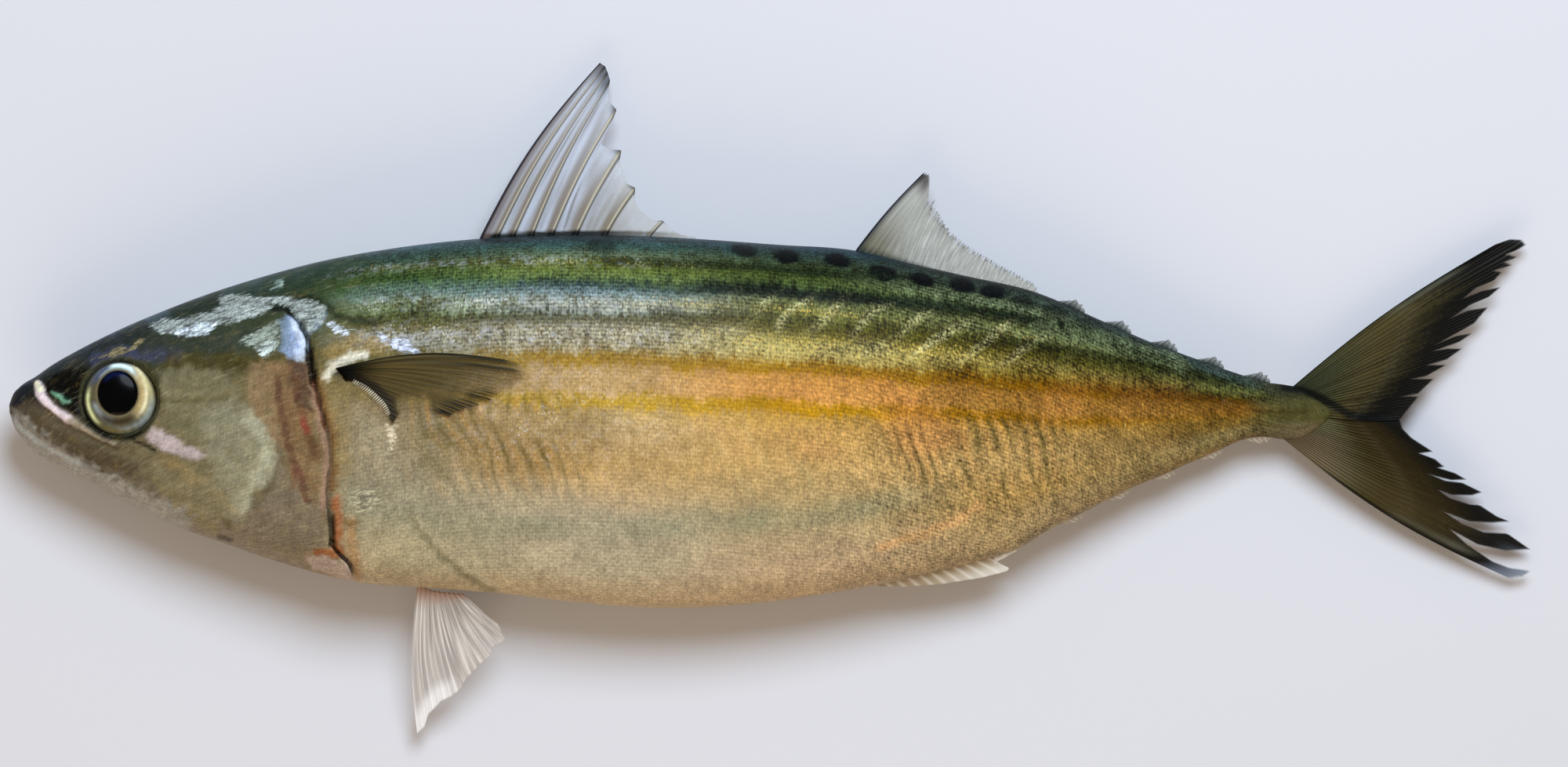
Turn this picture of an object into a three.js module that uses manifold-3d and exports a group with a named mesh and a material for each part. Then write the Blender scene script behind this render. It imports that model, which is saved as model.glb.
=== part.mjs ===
// A whole raw mackerel lying on its right side: head towards -X, tail towards +X, back towards +Y.
// Its left flank is up. Millimetres, with the surface it lies on at Z = 0.
//
// Every outline below is given as [along, up]: along the fish from the tip of the snout, and up
// towards the back from the level of that tip. The fish is moved to its own origin at the end.

import * as THREE from 'three';
import { LoftGeometry } from 'three/addons/geometries/LoftGeometry.js';
import { mergeVertices } from 'three/addons/utils/BufferGeometryUtils.js';
import Module from 'manifold-3d';

const wasm = await Module();
wasm.setup();

// ---------------------------------------------------------------- driving dimensions

const BODY_LENGTH = 212; // snout to the fleshy end of the tail stalk
const GAP = 0.35; // space left between neighbouring pieces
const FIN_GAP = 0.4; // space left between a fin and the body
const BACK_LINE = [
	[ 0, 0.6 ], [ 1.7, 3.3 ], [ 7, 7 ], [ 18, 12.8 ], [ 31, 18.1 ], [ 50, 23.9 ], [ 76, 27.7 ],
	[ 100, 28.3 ], [ 139, 26 ], [ 169, 19.1 ], [ 187, 11.2 ], [ 203, 5.2 ], [ 210, 3.4 ], [ 212, - 0.6 ],
];
const BELLY_LINE = [
	[ 0, - 0.9 ], [ 2.6, - 5.8 ], [ 10.8, - 11.1 ], [ 29, - 20.1 ], [ 48, - 26.3 ], [ 67, - 29.5 ],
	[ 93, - 31.9 ], [ 111, - 32.9 ], [ 139, - 29.9 ], [ 166, - 23 ], [ 183, - 13.8 ], [ 203, - 4.7 ],
	[ 210, - 5 ], [ 212, - 2.2 ],
];
const HALF_WIDTH = [
	[ 0, 0.5 ], [ 1.7, 2.4 ], [ 9, 6 ], [ 18, 8.9 ], [ 40, 12.9 ], [ 55, 14.3 ], [ 75, 15 ], [ 100, 15 ],
	[ 120, 14.2 ], [ 155, 10.6 ], [ 185, 5.4 ], [ 203, 2.7 ], [ 210, 1.7 ], [ 212, 0.5 ],
];
const MID_PLANE_HEIGHT = [
	[ 0, 12.5 ], [ 20, 12.6 ], [ 60, 13.5 ], [ 110, 13.6 ], [ 140, 12.9 ], [ 170, 11 ], [ 195, 8.6 ],
	[ 212, 7.2 ], [ 250, 3.2 ],
];
const WIDEST_LEVEL = 0.54; // share of the depth, from the belly, where a section is widest
const SECTION_SQUARENESS = 2.2; // 2 is a plain ellipse
const POINTS_IN_SECTION = 32;
const SECTIONS_IN_BODY = 46;
const SHORTER_WHEN_SHRUNK = 3; // a shrunk body ends this many times further in than its sides

const EYE = { along: 18.4, up: 2, radius: 6.2, thickness: 3, bulge: 1.4, segments: 20, rings: 12 };

const GILL_COVER = [
	[ 34, 12 ], [ 41, 15.5 ], [ 46.8, 16.5 ], [ 49.4, 10.7 ], [ 51.5, 1.3 ], [ 53.4, - 6.6 ],
	[ 52.4, - 11.9 ], [ 53.1, - 21 ], [ 50, - 23.2 ], [ 42, - 20.5 ], [ 34.5, - 15 ], [ 31, - 6 ],
	[ 31.5, 4 ],
];
const GILL_COVER_THICKNESS = 1.4;

const FIRST_DORSAL_FIN = [
	[ 76.6, 28 ], [ 85.3, 42.6 ], [ 92.4, 52.5 ], [ 98, 56.2 ], [ 100.6, 42.4 ], [ 102.8, 34.3 ],
	[ 107.6, 30.7 ], [ 113, 28 ], [ 108, 24 ], [ 80, 24 ],
];
const SECOND_DORSAL_FIN = [
	[ 139, 25.9 ], [ 144.9, 32.8 ], [ 150.7, 38.8 ], [ 152.5, 34.7 ], [ 155.1, 29 ], [ 160.9, 25 ],
	[ 169, 19.7 ], [ 166, 16 ], [ 150, 19 ], [ 142, 22 ],
];
const ANAL_FIN = [
	[ 142.5, - 29.4 ], [ 153.5, - 29.2 ], [ 164.3, - 26.9 ], [ 166, - 23.4 ], [ 160, - 21 ], [ 148, - 25 ],
];
const FINLET = { first: 172.2, pitch: 7.65, length: 4.5, tipAlong: 3.9, dorsalHeight: 1.8, analHeight: 1.4 };
const FINLET_COUNT = 5;
const FINLET_ROOT_DEPTH = 1; // how far its root reaches past the line of the body
const TAIL_FIN = [
	[ 209, 0 ], [ 212, 3.1 ], [ 221, 10.1 ], [ 236, 21.8 ], [ 245.5, 27.2 ], [ 249.6, 27.2 ], [ 245, 21.5 ],
	[ 240.5, 12.8 ], [ 235.5, 4.7 ], [ 229, - 2 ], [ 235, - 8 ], [ 242.5, - 14.4 ], [ 247.5, - 20.5 ],
	[ 250, - 27.2 ], [ 245.5, - 27.6 ], [ 236, - 23.2 ], [ 221, - 13.8 ], [ 211, - 7.1 ],
];
const PECTORAL_FIN = [
	[ 54.5, 5.4 ], [ 59.2, 6.8 ], [ 65.8, 7.9 ], [ 78.9, 7.9 ], [ 85.3, 5.8 ], [ 78.9, 1.3 ], [ 73, - 1.7 ],
	[ 63.6, - 1.9 ], [ 60.6, 3.1 ],
];
const PELVIC_FIN_SPREAD = [
	[ 67.3, - 28 ], [ 66, - 41.5 ], [ 66.3, - 49.5 ], [ 67.2, - 53.4 ], [ 72.6, - 47.5 ], [ 81.5, - 38.1 ],
	[ 78.2, - 33.2 ], [ 73.5, - 28 ],
];
const PELVIC_FIN_FOLDED = [
	[ 69, - 22 ], [ 76, - 25.6 ], [ 90, - 25 ], [ 93.5, - 22.6 ], [ 84, - 21 ], [ 71, - 19.6 ],
];
const SPREAD_FIN_THICKNESS = 0.9;
const TAIL_FIN_THICKNESS = 1.3;
const PRESSED_FIN_THICKNESS = 0.9; // a fin lying flat on the skin
const FIN_DROOP = 0.35; // how far a spread fin sinks for each millimetre away from the mid line

// ---------------------------------------------------------------- materials

const finish = ( color, roughness, metalness ) =>
	new THREE.MeshStandardMaterial( { color, roughness, metalness } );

const skin = () => finish( 0x77715a, 0.35, 0.25 );
const eyeball = () => finish( 0x9a9a86, 0.12, 0.3 );
const gillCoverSkin = () => finish( 0x807458, 0.35, 0.25 );
const clearFin = () => finish( 0x9fa6a6, 0.4, 0 );
const darkFin = () => finish( 0x4a4a38, 0.45, 0 );

// ---------------------------------------------------------------- lines of the body

function smoothLine( knots ) {

	const line = new THREE.CubicInterpolant(
		knots.map( ( knot ) => knot[ 0 ] ), knots.map( ( knot ) => knot[ 1 ] ), 1, new Float32Array( 1 ) );
	return ( along ) => line.evaluate( along )[ 0 ];

}

const backLine = smoothLine( BACK_LINE );
const bellyLine = smoothLine( BELLY_LINE );
const halfWidth = smoothLine( HALF_WIDTH );
const midPlane = smoothLine( MID_PLANE_HEIGHT );

// The egg-shaped section of the fish at one place, grown or shrunk all round by `grow`.

function bodySection( along, grow ) {

	const back = backLine( along ) + grow;
	const belly = bellyLine( along ) - grow;
	const widest = THREE.MathUtils.lerp( belly, back, WIDEST_LEVEL );
	const width = Math.max( halfWidth( along ) + grow, 0.1 );
	const bend = ( value ) => Math.sign( value ) * Math.abs( value ) ** ( 2 / SECTION_SQUARENESS );
	const points = [];

	for ( let i = 0; i < POINTS_IN_SECTION; i ++ ) {

		const angle = 2 * Math.PI * i / POINTS_IN_SECTION;
		const rise = bend( Math.cos( angle ) );
		const reach = rise > 0 ? back - widest : widest - belly;
		const side = bend( Math.sin( angle ) );
		points.push( new THREE.Vector3( along, widest + rise * reach, midPlane( along ) + side * width ) );

	}

	return points;

}

// The whole fish without fins as one closed loft, its sections closest together at both ends.

function bodyLoft( grow ) {

	const inset = Math.max( - grow, 0 ) * SHORTER_WHEN_SHRUNK;
	const length = BODY_LENGTH - 2 * inset;
	const sections = [];

	for ( let i = 0; i <= SECTIONS_IN_BODY; i ++ ) {

		const share = ( 1 - Math.cos( Math.PI * i / SECTIONS_IN_BODY ) ) / 2;
		sections.push( bodySection( inset + length * share, grow ) );

	}

	const loft = new LoftGeometry( sections, { capStart: true, capEnd: true } );
	return new THREE.BufferGeometry().copy( loft );

}

// ---------------------------------------------------------------- solids

function toSolid( geometry ) {

	geometry.deleteAttribute( 'normal' );
	geometry.deleteAttribute( 'uv' );
	const merged = mergeVertices( geometry, 1e-4 );
	return new wasm.Manifold( new wasm.Mesh( {
		numProp: 3,
		vertProperties: new Float32Array( merged.getAttribute( 'position' ).array ),
		triVerts: new Uint32Array( merged.getIndex().array ),
	} ) );

}

function toGeometry( solid ) {

	const mesh = solid.getMesh();
	const geometry = new THREE.BufferGeometry();
	geometry.setAttribute( 'position', new THREE.BufferAttribute( mesh.vertProperties.slice(), 3 ) );
	geometry.setIndex( new THREE.BufferAttribute( mesh.triVerts.slice(), 1 ) );
	geometry.computeVertexNormals();
	return geometry;

}

// A straight-sided block that stands on an outline, from one height to another.

function blockOver( outline, bottom, top ) {

	const shape = new THREE.Shape( outline.map( ( [ along, up ] ) => new THREE.Vector2( along, up ) ) );
	const block = new THREE.ExtrudeGeometry( shape, { depth: top - bottom, bevelEnabled: false } );
	block.translate( 0, 0, bottom );
	return block;

}

// A closed curve that runs smoothly through the points of an outline.

const CURVE_STEPS = 3; // between one point and the next

function rounded( outline ) {

	const corners = outline.map( ( [ along, up ] ) => new THREE.Vector3( along, up, 0 ) );
	const curve = new THREE.CatmullRomCurve3( corners, true );
	const points = curve.getPoints( CURVE_STEPS * outline.length ).slice( 1 );
	return points.map( ( point ) => [ point.x, point.y ] );

}

// The same outline moved outwards by a distance, so that a piece sits in its cut with a gap.

function widened( outline, distance ) {

	const points = outline.map( ( [ along, up ] ) => new THREE.Vector2( along, up ) );
	const outward = THREE.ShapeUtils.isClockWise( points ) ? - distance : distance;
	return points.map( ( point, i ) => {

		const before = points[ ( i + points.length - 1 ) % points.length ];
		const after = points[ ( i + 1 ) % points.length ];
		const run = after.clone().sub( before ).normalize();
		return [ point.x + run.y * outward, point.y - run.x * outward ];

	} );

}

const BLOCK_TOP = 40; // higher than the fish
const MID_CLEARANCE = 1.5; // what belongs to one side stays this far from the mid plane
const gillHeight = midPlane( 50 );
const sideRange = {
	left: [ gillHeight + MID_CLEARANCE, BLOCK_TOP ],
	right: [ - MID_CLEARANCE, gillHeight - MID_CLEARANCE ],
};

const SURFACE = { width: 600, depth: 100 };
const surface = toSolid( new THREE.BoxGeometry( SURFACE.width, SURFACE.width, SURFACE.depth )
	.translate( 0, 0, - SURFACE.depth / 2 ) );
const restingBody = toSolid( bodyLoft( 0 ) ).subtract( surface );
const grownBody = toSolid( bodyLoft( FIN_GAP ) );

// ---------------------------------------------------------------- eyes

function eyeSolid( side, grow ) {

	const sign = side === 'left' ? 1 : - 1;
	const ball = new THREE.SphereGeometry( 1, EYE.segments, EYE.rings );
	ball.scale( EYE.radius + grow, EYE.radius + grow, EYE.thickness + grow );
	const depth = halfWidth( EYE.along ) + EYE.bulge - EYE.thickness;
	ball.translate( EYE.along, EYE.up, midPlane( EYE.along ) + sign * depth );
	return toSolid( ball );

}

// ---------------------------------------------------------------- gill covers

// Each cover is a curved plate that follows the side of the head, in a seat cut to the same outline.

const underCover = toSolid( bodyLoft( - GILL_COVER_THICKNESS ) );
const underCoverSeat = toSolid( bodyLoft( - GILL_COVER_THICKNESS - GAP ) );

const coverOutline = rounded( GILL_COVER );

function gillCover( side ) {

	const block = toSolid( blockOver( coverOutline, ...sideRange[ side ] ) );
	return restingBody.intersect( block ).subtract( underCover );

}

function gillCoverSeat( side ) {

	const [ bottom, top ] = sideRange[ side ];
	const block = toSolid( blockOver( widened( coverOutline, GAP ), bottom - GAP, top + GAP ) );
	return block.subtract( underCoverSeat );

}

// ---------------------------------------------------------------- fins that stand out from the body

// A thin plate on the mid plane of the fish. It sinks by `droop` for each millimetre off the body.

function finPlate( outline, thickness, droop ) {

	const plate = blockOver( outline, - thickness / 2, thickness / 2 );
	const corners = plate.getAttribute( 'position' );

	for ( let i = 0; i < corners.count; i ++ ) {

		const along = corners.getX( i );
		const up = corners.getY( i );
		const outside = droop ? Math.max( up - backLine( along ), bellyLine( along ) - up, 0 ) : 0;
		corners.setZ( i, corners.getZ( i ) + midPlane( along ) - droop * outside );

	}

	return toSolid( plate ).subtract( grownBody );

}

const spreadFin = ( outline ) => finPlate( outline, SPREAD_FIN_THICKNESS, FIN_DROOP );

// One small fin of the row between the big fins and the tail, with a root just inside the body.

function finlet( index, line, height ) {

	const start = FINLET.first + index * FINLET.pitch;
	const tip = start + FINLET.tipAlong;
	const end = start + FINLET.length;
	const root = - Math.sign( height ) * FINLET_ROOT_DEPTH;
	return spreadFin( [
		[ start, line( start ) ],
		[ tip, line( tip ) + height ],
		[ end, line( end ) + height / 2 ],
		[ end, line( end ) + root ],
		[ start + FINLET_ROOT_DEPTH, line( start + FINLET_ROOT_DEPTH ) + root ],
	] );

}

// ---------------------------------------------------------------- fins that lie on the flanks

const pectoralOutline = rounded( PECTORAL_FIN );
const overSkin = toSolid( bodyLoft( GAP + PRESSED_FIN_THICKNESS ) );

function finOnFlank( outline, side ) {

	const block = toSolid( blockOver( outline, ...sideRange[ side ] ) );
	return overSkin.intersect( block ).subtract( grownBody );

}

// The right pectoral fin is under the fish, pressed flush into the flank that bears on the surface.

const finUnderFlank = () => toSolid( blockOver( pectoralOutline, 0, PRESSED_FIN_THICKNESS ) );

const finUnderFlankSeat = () =>
	toSolid( blockOver( widened( pectoralOutline, GAP ), - GAP, PRESSED_FIN_THICKNESS + GAP ) );

// ---------------------------------------------------------------- the fish

const fish = new THREE.Group();

function addPiece( name, solid, material ) {

	const mesh = new THREE.Mesh( toGeometry( solid ), material );
	mesh.name = name;
	fish.add( mesh );

}

const body = restingBody
	.subtract( eyeSolid( 'left', GAP ) )
	.subtract( eyeSolid( 'right', GAP ) )
	.subtract( gillCoverSeat( 'left' ) )
	.subtract( gillCoverSeat( 'right' ) )
	.subtract( finUnderFlankSeat() );

addPiece( 'body', body, skin() );

for ( const side of [ 'left', 'right' ] ) {

	addPiece( `${ side }_eye`, eyeSolid( side, 0 ), eyeball() );
	addPiece( `${ side }_gill_cover`, gillCover( side ), gillCoverSkin() );

}

addPiece( 'first_dorsal_fin', spreadFin( FIRST_DORSAL_FIN ), clearFin() );
addPiece( 'second_dorsal_fin', spreadFin( SECOND_DORSAL_FIN ), clearFin() );
addPiece( 'anal_fin', spreadFin( ANAL_FIN ), clearFin() );

for ( let i = 0; i < FINLET_COUNT; i ++ ) {

	addPiece( `dorsal_finlet_${ i + 1 }`, finlet( i, backLine, FINLET.dorsalHeight ), darkFin() );
	addPiece( `anal_finlet_${ i + 1 }`, finlet( i, bellyLine, - FINLET.analHeight ), clearFin() );

}

addPiece( 'tail_fin', finPlate( TAIL_FIN, TAIL_FIN_THICKNESS, 0 ), darkFin() );
addPiece( 'left_pectoral_fin', finOnFlank( pectoralOutline, 'left' ), darkFin() );
addPiece( 'right_pectoral_fin', finUnderFlank(), darkFin() );
addPiece( 'left_pelvic_fin', spreadFin( PELVIC_FIN_SPREAD ), clearFin() );
addPiece( 'right_pelvic_fin', finOnFlank( rounded( PELVIC_FIN_FOLDED ), 'right' ), clearFin() );

// Origin: the middle of the whole fish seen from above, on the surface it lies on.

const middle = new THREE.Box3().setFromObject( fish, true ).getCenter( new THREE.Vector3() );
fish.position.set( - middle.x, - middle.y, 0 );

export default fish;
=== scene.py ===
import math

import bmesh
import bpy
import numpy as np
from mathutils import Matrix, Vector, noise

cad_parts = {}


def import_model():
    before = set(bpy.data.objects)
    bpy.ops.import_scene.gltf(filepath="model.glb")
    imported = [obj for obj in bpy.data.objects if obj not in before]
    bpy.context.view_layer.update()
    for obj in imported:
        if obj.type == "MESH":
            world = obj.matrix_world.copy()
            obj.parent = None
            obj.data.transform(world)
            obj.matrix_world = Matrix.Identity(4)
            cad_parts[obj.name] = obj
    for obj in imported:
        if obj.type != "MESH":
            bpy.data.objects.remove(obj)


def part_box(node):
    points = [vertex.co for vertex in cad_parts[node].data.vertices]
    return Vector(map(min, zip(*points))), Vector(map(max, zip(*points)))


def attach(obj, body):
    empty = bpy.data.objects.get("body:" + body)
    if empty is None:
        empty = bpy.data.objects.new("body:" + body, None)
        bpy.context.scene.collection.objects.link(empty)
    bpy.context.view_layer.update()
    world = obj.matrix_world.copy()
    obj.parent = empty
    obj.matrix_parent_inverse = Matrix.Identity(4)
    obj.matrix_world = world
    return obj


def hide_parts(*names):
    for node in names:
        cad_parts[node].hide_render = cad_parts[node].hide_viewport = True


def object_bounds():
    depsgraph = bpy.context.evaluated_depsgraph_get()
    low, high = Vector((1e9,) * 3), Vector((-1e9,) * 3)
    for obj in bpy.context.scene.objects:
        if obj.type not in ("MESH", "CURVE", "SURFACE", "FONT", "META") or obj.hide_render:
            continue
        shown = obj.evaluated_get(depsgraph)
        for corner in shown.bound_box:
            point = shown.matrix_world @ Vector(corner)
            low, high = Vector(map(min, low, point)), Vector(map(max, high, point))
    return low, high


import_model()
cad_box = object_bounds()

# ---- Camera, floor and light ------------------------------------------------------------------
# The fish is seen from straight above on a plain pale sheet, under a broad soft light that comes
# from beyond its back, with a weaker warm one from the belly side.

MM = 0.001
VIEW_WIDTH = 258  # mm across the picture
VIEW_SHIFT = (2.5, 2.6)  # mm from the middle of the fish to the middle of the picture
VIEW_LEVEL = 13  # mm above the sheet, where the widest outline of the fish lies
LENS = 420
SENSOR = 36
FLOOR_HALF = 3
low_corner, high_corner = np.array(cad_box)
view_middle = (low_corner + high_corner)[:2] / 2 + np.array(VIEW_SHIFT) * MM

camera_data = bpy.data.cameras.new("camera")
camera_data.lens = LENS
camera_data.sensor_width = SENSOR
camera = bpy.data.objects.new("camera", camera_data)
camera.location = (*view_middle, (VIEW_LEVEL + VIEW_WIDTH * LENS / SENSOR) * MM)
bpy.context.collection.objects.link(camera)
bpy.context.scene.camera = camera

floor_bm = bmesh.new()
bmesh.ops.create_grid(floor_bm, x_segments=1, y_segments=1, size=FLOOR_HALF)
floor_mesh = bpy.data.meshes.new("floor")
floor_bm.to_mesh(floor_mesh)
floor_bm.free()
floor = bpy.data.objects.new("floor", floor_mesh)
bpy.context.collection.objects.link(floor)


def linear(red, green, blue):
    """A colour as it looks on a screen, 0 to 255, made into light values."""
    seen = np.array([red, green, blue], float) / 255
    return np.where(seen <= 0.04045, seen / 12.92, ((seen + 0.055) / 1.055) ** 2.4)


def new_material(name, **settings):
    """A material, and its shader with some of its sockets set, such as Roughness."""
    material = bpy.data.materials.new(name)
    material.use_nodes = True
    shader = material.node_tree.nodes["Principled BSDF"]
    for socket, value in settings.items():
        shader.inputs[socket.replace("_", " ")].default_value = value
    return material, shader


sheet, _ = new_material("pale_sheet", Base_Color=(*linear(206, 207, 216), 1), Roughness=0.75)
floor_mesh.materials.append(sheet)


def soft_light(name, place, width, watts, colour):
    """A round lamp that shines on the middle of the fish."""
    data = bpy.data.lights.new(name, "AREA")
    data.shape = "DISK"
    data.size = width
    data.energy = watts
    data.color = colour
    lamp = bpy.data.objects.new(name, data)
    lamp.location = place
    lamp.rotation_euler = (-Vector(place)).to_track_quat("-Z", "Y").to_euler()
    bpy.context.collection.objects.link(lamp)


soft_light("back_light", (0.08, 0.42, 0.8), 0.45, 8.4, (0.78, 0.9, 1.0))
soft_light("belly_light", (-0.15, -0.7, 0.5), 0.6, 2.6, (1.0, 0.78, 0.52))
room = bpy.data.worlds.new("room")
room.use_nodes = True
room.node_tree.nodes["Background"].inputs["Color"].default_value = (1.0, 0.84, 0.67, 1)
room.node_tree.nodes["Background"].inputs["Strength"].default_value = 0.36
bpy.context.scene.world = room
bpy.context.scene.view_settings.view_transform = "Standard"

# ---- Body -------------------------------------------------------------------------------------
# Head, trunk and tail stalk of a raw mackerel about a quarter of a metre long: one firm muscle with
# a thin wet skin over it, egg-shaped in section. The fish lies on its right side, and the right
# flank flattens where it bears on the surface.

# Every place on the fish is given in millimetres as (along, up): along from the tip of the snout
# towards the tail, and up from the level of that tip towards the back.
EYE_UP = 2.0  # the middle of the plain solid eye is this far above the tip of the snout
body_low, body_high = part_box("body")
eye_low, eye_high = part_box("left_eye")
snout_x = body_low[0]
snout_y = (eye_low[1] + eye_high[1]) / 2 - EYE_UP * MM
flesh_length = (body_high[0] - snout_x) / MM + 6  # it runs on for 6 mm inside the root of the tail fin


def smooth_line(knots):
    """A curve through (along, value) knots, for a number or an array of places along the fish."""
    places = np.array([knot[0] for knot in knots], float)
    values = np.array([knot[1] for knot in knots], float)
    slopes = np.gradient(values, places)

    def at(along):
        spot = np.clip(along, places[0], places[-1])
        i = np.clip(np.searchsorted(places, spot) - 1, 0, len(places) - 2)
        gap = places[i + 1] - places[i]
        t = (spot - places[i]) / gap
        start = values[i] * (1 + 2 * t) + slopes[i] * gap * t
        end = values[i + 1] * (3 - 2 * t) - slopes[i + 1] * gap * (1 - t)
        return start * (1 - t) ** 2 + end * t ** 2

    return at


back_line = smooth_line([
    (0, 0.4), (0.5, 1.9), (1.7, 3.4), (4.3, 5.1), (7, 7), (11.4, 9.5), (18, 12.8), (24.3, 15.5), (31, 18.1),
    (43.6, 22.1), (50, 23.8), (63, 26.2), (76, 27.7), (88, 28.3), (102, 28.3), (127, 26.8), (139, 25.9),
    (148.5, 23.7), (157, 21.8), (169, 19), (179.7, 14.4), (187, 11.2), (195, 8.2), (203, 5.4), (207, 4.2),
    (210, 3.8), (213, 3.1), (215.5, 1.4), (218, -0.6)])
belly_line = smooth_line([
    (0, -0.6), (0.5, -2.2), (2.6, -5.6), (6.7, -8.9), (10.8, -11.1), (17, -14.3), (23, -17.3), (29, -20),
    (35.5, -22.3), (41.7, -24.5), (48, -26.4), (56.9, -28.6), (67, -29.5), (80.6, -30.5), (93, -31.9),
    (102, -32.7), (111, -32.9), (126, -31.8), (139, -29.8), (150, -27.6), (160, -25), (166, -23.2),
    (172, -19.6), (178, -16.6), (183, -14), (189.5, -11.2), (195, -8.8), (200, -6.6), (203.3, -5.2),
    (207, -4.8), (210, -5.2), (213, -4.8), (215.5, -3.2), (218, -1.2)])
half_width = smooth_line([
    (0, 0.5), (0.5, 1.4), (1.7, 2.6), (9, 6), (18, 8.9), (40, 12.9), (55, 14.3), (75, 15), (100, 15),
    (120, 14.2), (155, 10.6), (185, 5.4), (203, 2.8), (209, 1.9), (213, 1.2), (218, 0.5)])
mid_plane = smooth_line([
    (0, 12.5), (20, 12.6), (60, 13.5), (110, 13.6), (140, 12.9), (170, 11), (195, 8.6), (212, 7.2),
    (250, 3.2)])


def world(along, up, height):
    """Places on the fish, in metres in the frame of the whole model."""
    return np.stack([snout_x + along * MM, snout_y + up * MM, height * MM], axis=-1)


AROUND = 256
RINGS = 380
HEAD_SHARE = 0.36  # share of the rings that go to the head, where the small forms are
HEAD_END = 50
WIDEST_LEVEL = 0.54  # share of the depth, from the belly up, at which the fish is thickest
EYE_ALONG = 18.6
EYE_MIDDLE = 1.5
EYE_RADIUS = 6
LID_CREASE = 6.45  # mm from the middle of the eye to the crease round it
LID_EDGE = 7.3
FOLD_PITCH = 2.9
SEAM_PITCH = 5.8


def squareness(along):
    return np.interp(along, [0, 25, 60, 180, 212], [2.0, 2.05, 2.15, 2.1, 1.9])


def section_point(along, angle):
    """Up and height of the plain body surface; angle 0 is the ridge of the back, 90 the left flank."""
    back, belly = back_line(along), belly_line(along)
    widest = belly + WIDEST_LEVEL * (back - belly)
    power = 2 / squareness(along)
    rise = np.sign(np.cos(angle)) * np.abs(np.cos(angle)) ** power
    side = np.sign(np.sin(angle)) * np.abs(np.sin(angle)) ** power
    reach = np.where(rise > 0, back - widest, widest - belly)
    return widest + rise * reach, mid_plane(along) + side * half_width(along)


def ripple(along, up, size, seed):
    """Soft random hills between about -1 and 1, so many millimetres across."""
    return np.array([noise.noise(Vector((a / size, u / size, seed)))
                     for a, u in zip(along.tolist(), up.tolist())]) * 1.6


def step(low, high, value):
    t = np.clip((value - low) / (high - low), 0, 1)
    return t * t * (3 - 2 * t)


def bell(value, middle, width):
    """1 where the value is at the middle, falling away softly on both sides."""
    return np.exp(-(((value - middle) / width) ** 2))


def away_from(line, along, up):
    """How far each place is from a line drawn on the flank, in mm."""
    nearest = np.full(np.shape(along), 1e9)
    for (a0, u0), (a1, u1) in zip(line, line[1:]):
        run, climb = a1 - a0, u1 - u0
        t = np.clip(((along - a0) * run + (up - u0) * climb) / (run * run + climb * climb), 0, 1)
        nearest = np.minimum(nearest, np.hypot(along - a0 - t * run, up - u0 - t * climb))
    return nearest


def stroke(line, width, soft, along, up):
    """1 on a drawn line, falling to 0 over `soft` mm beyond half its width."""
    return 1 - step(width / 2, width / 2 + soft, away_from(line, along, up))


def inside(outline, soft, along, up):
    """1 within a closed outline drawn on the flank, falling to 0 across its soft edge."""
    crossings = np.zeros(len(along), int)
    for (a0, u0), (a1, u1) in zip(outline, outline[1:] + outline[:1]):
        level = np.where(u1 == u0, 1, u1 - u0)
        crossings += ((u0 > up) != (u1 > up)) & (along < a0 + (up - u0) * (a1 - a0) / level)
    distance = away_from(outline + outline[:1], along, up)
    return step(-soft / 2, soft / 2, np.where(crossings % 2 == 1, distance, -distance))


def patch(centre, length, depth, tilt, soft, along, up):
    """1 inside an oval drawn on the flank, falling to 0 outside it."""
    run, climb = along - centre[0], up - centre[1]
    turn = math.radians(tilt)
    across = (run * math.cos(turn) + climb * math.sin(turn)) / (length / 2)
    down = (climb * math.cos(turn) - run * math.sin(turn)) / (depth / 2)
    return 1 - step(1, 1 + soft, np.hypot(across, down))


# Lines that the stripes of the trunk follow, from the belly to the ridge, with the value that each one
# has on the way up the flank.
GUIDES = [
    (0, belly_line),
    (0.5, smooth_line([(0, 0), (50, 2.6), (76, 1.6), (98, 1.3), (110, 0.9), (123, 0.5), (134, -0.2),
     (147, -0.6), (162, -1.3), (172, -2), (188, -2), (200, -1.4), (212, -0.9)])),
    (0.6, smooth_line([(0, 0.4), (50, 8.8), (67, 8.5), (84, 8.3), (98, 7.9), (110, 7.3), (123, 6.9), (136, 6),
     (153, 4.9), (166, 3.9), (176, 3), (188, 2.2), (202, 1.1), (212, 0.4)])),
    (0.7, smooth_line([(0, 0.8), (50, 14), (63, 14.7), (84, 14.7), (110, 14.7), (121, 14.4), (130, 13.4),
     (142, 12.5), (153, 11.7), (166, 10.2), (176, 8.2), (188, 5.9), (202, 2.8), (212, 1)])),
    (0.8, smooth_line([(0, 1.2), (50, 18.6), (63, 20.3), (76, 20.8), (93, 20.6), (102, 20.3), (115, 19.8),
     (124, 19.4), (132, 18.8), (141, 17.8), (153, 16.2), (166, 14.4), (176, 12), (188, 8.6), (202, 4.1),
     (212, 1.6)])),
    (0.9, smooth_line([(0, 1.6), (50, 21.8), (63, 23.6), (80, 24.6), (96, 24.7), (110, 24.3), (121, 23.8),
     (134, 22.5), (147, 21), (160, 18.7), (172, 15.9), (182, 12.1), (196, 7), (212, 2.2)])),
    (1, back_line),
]

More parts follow.
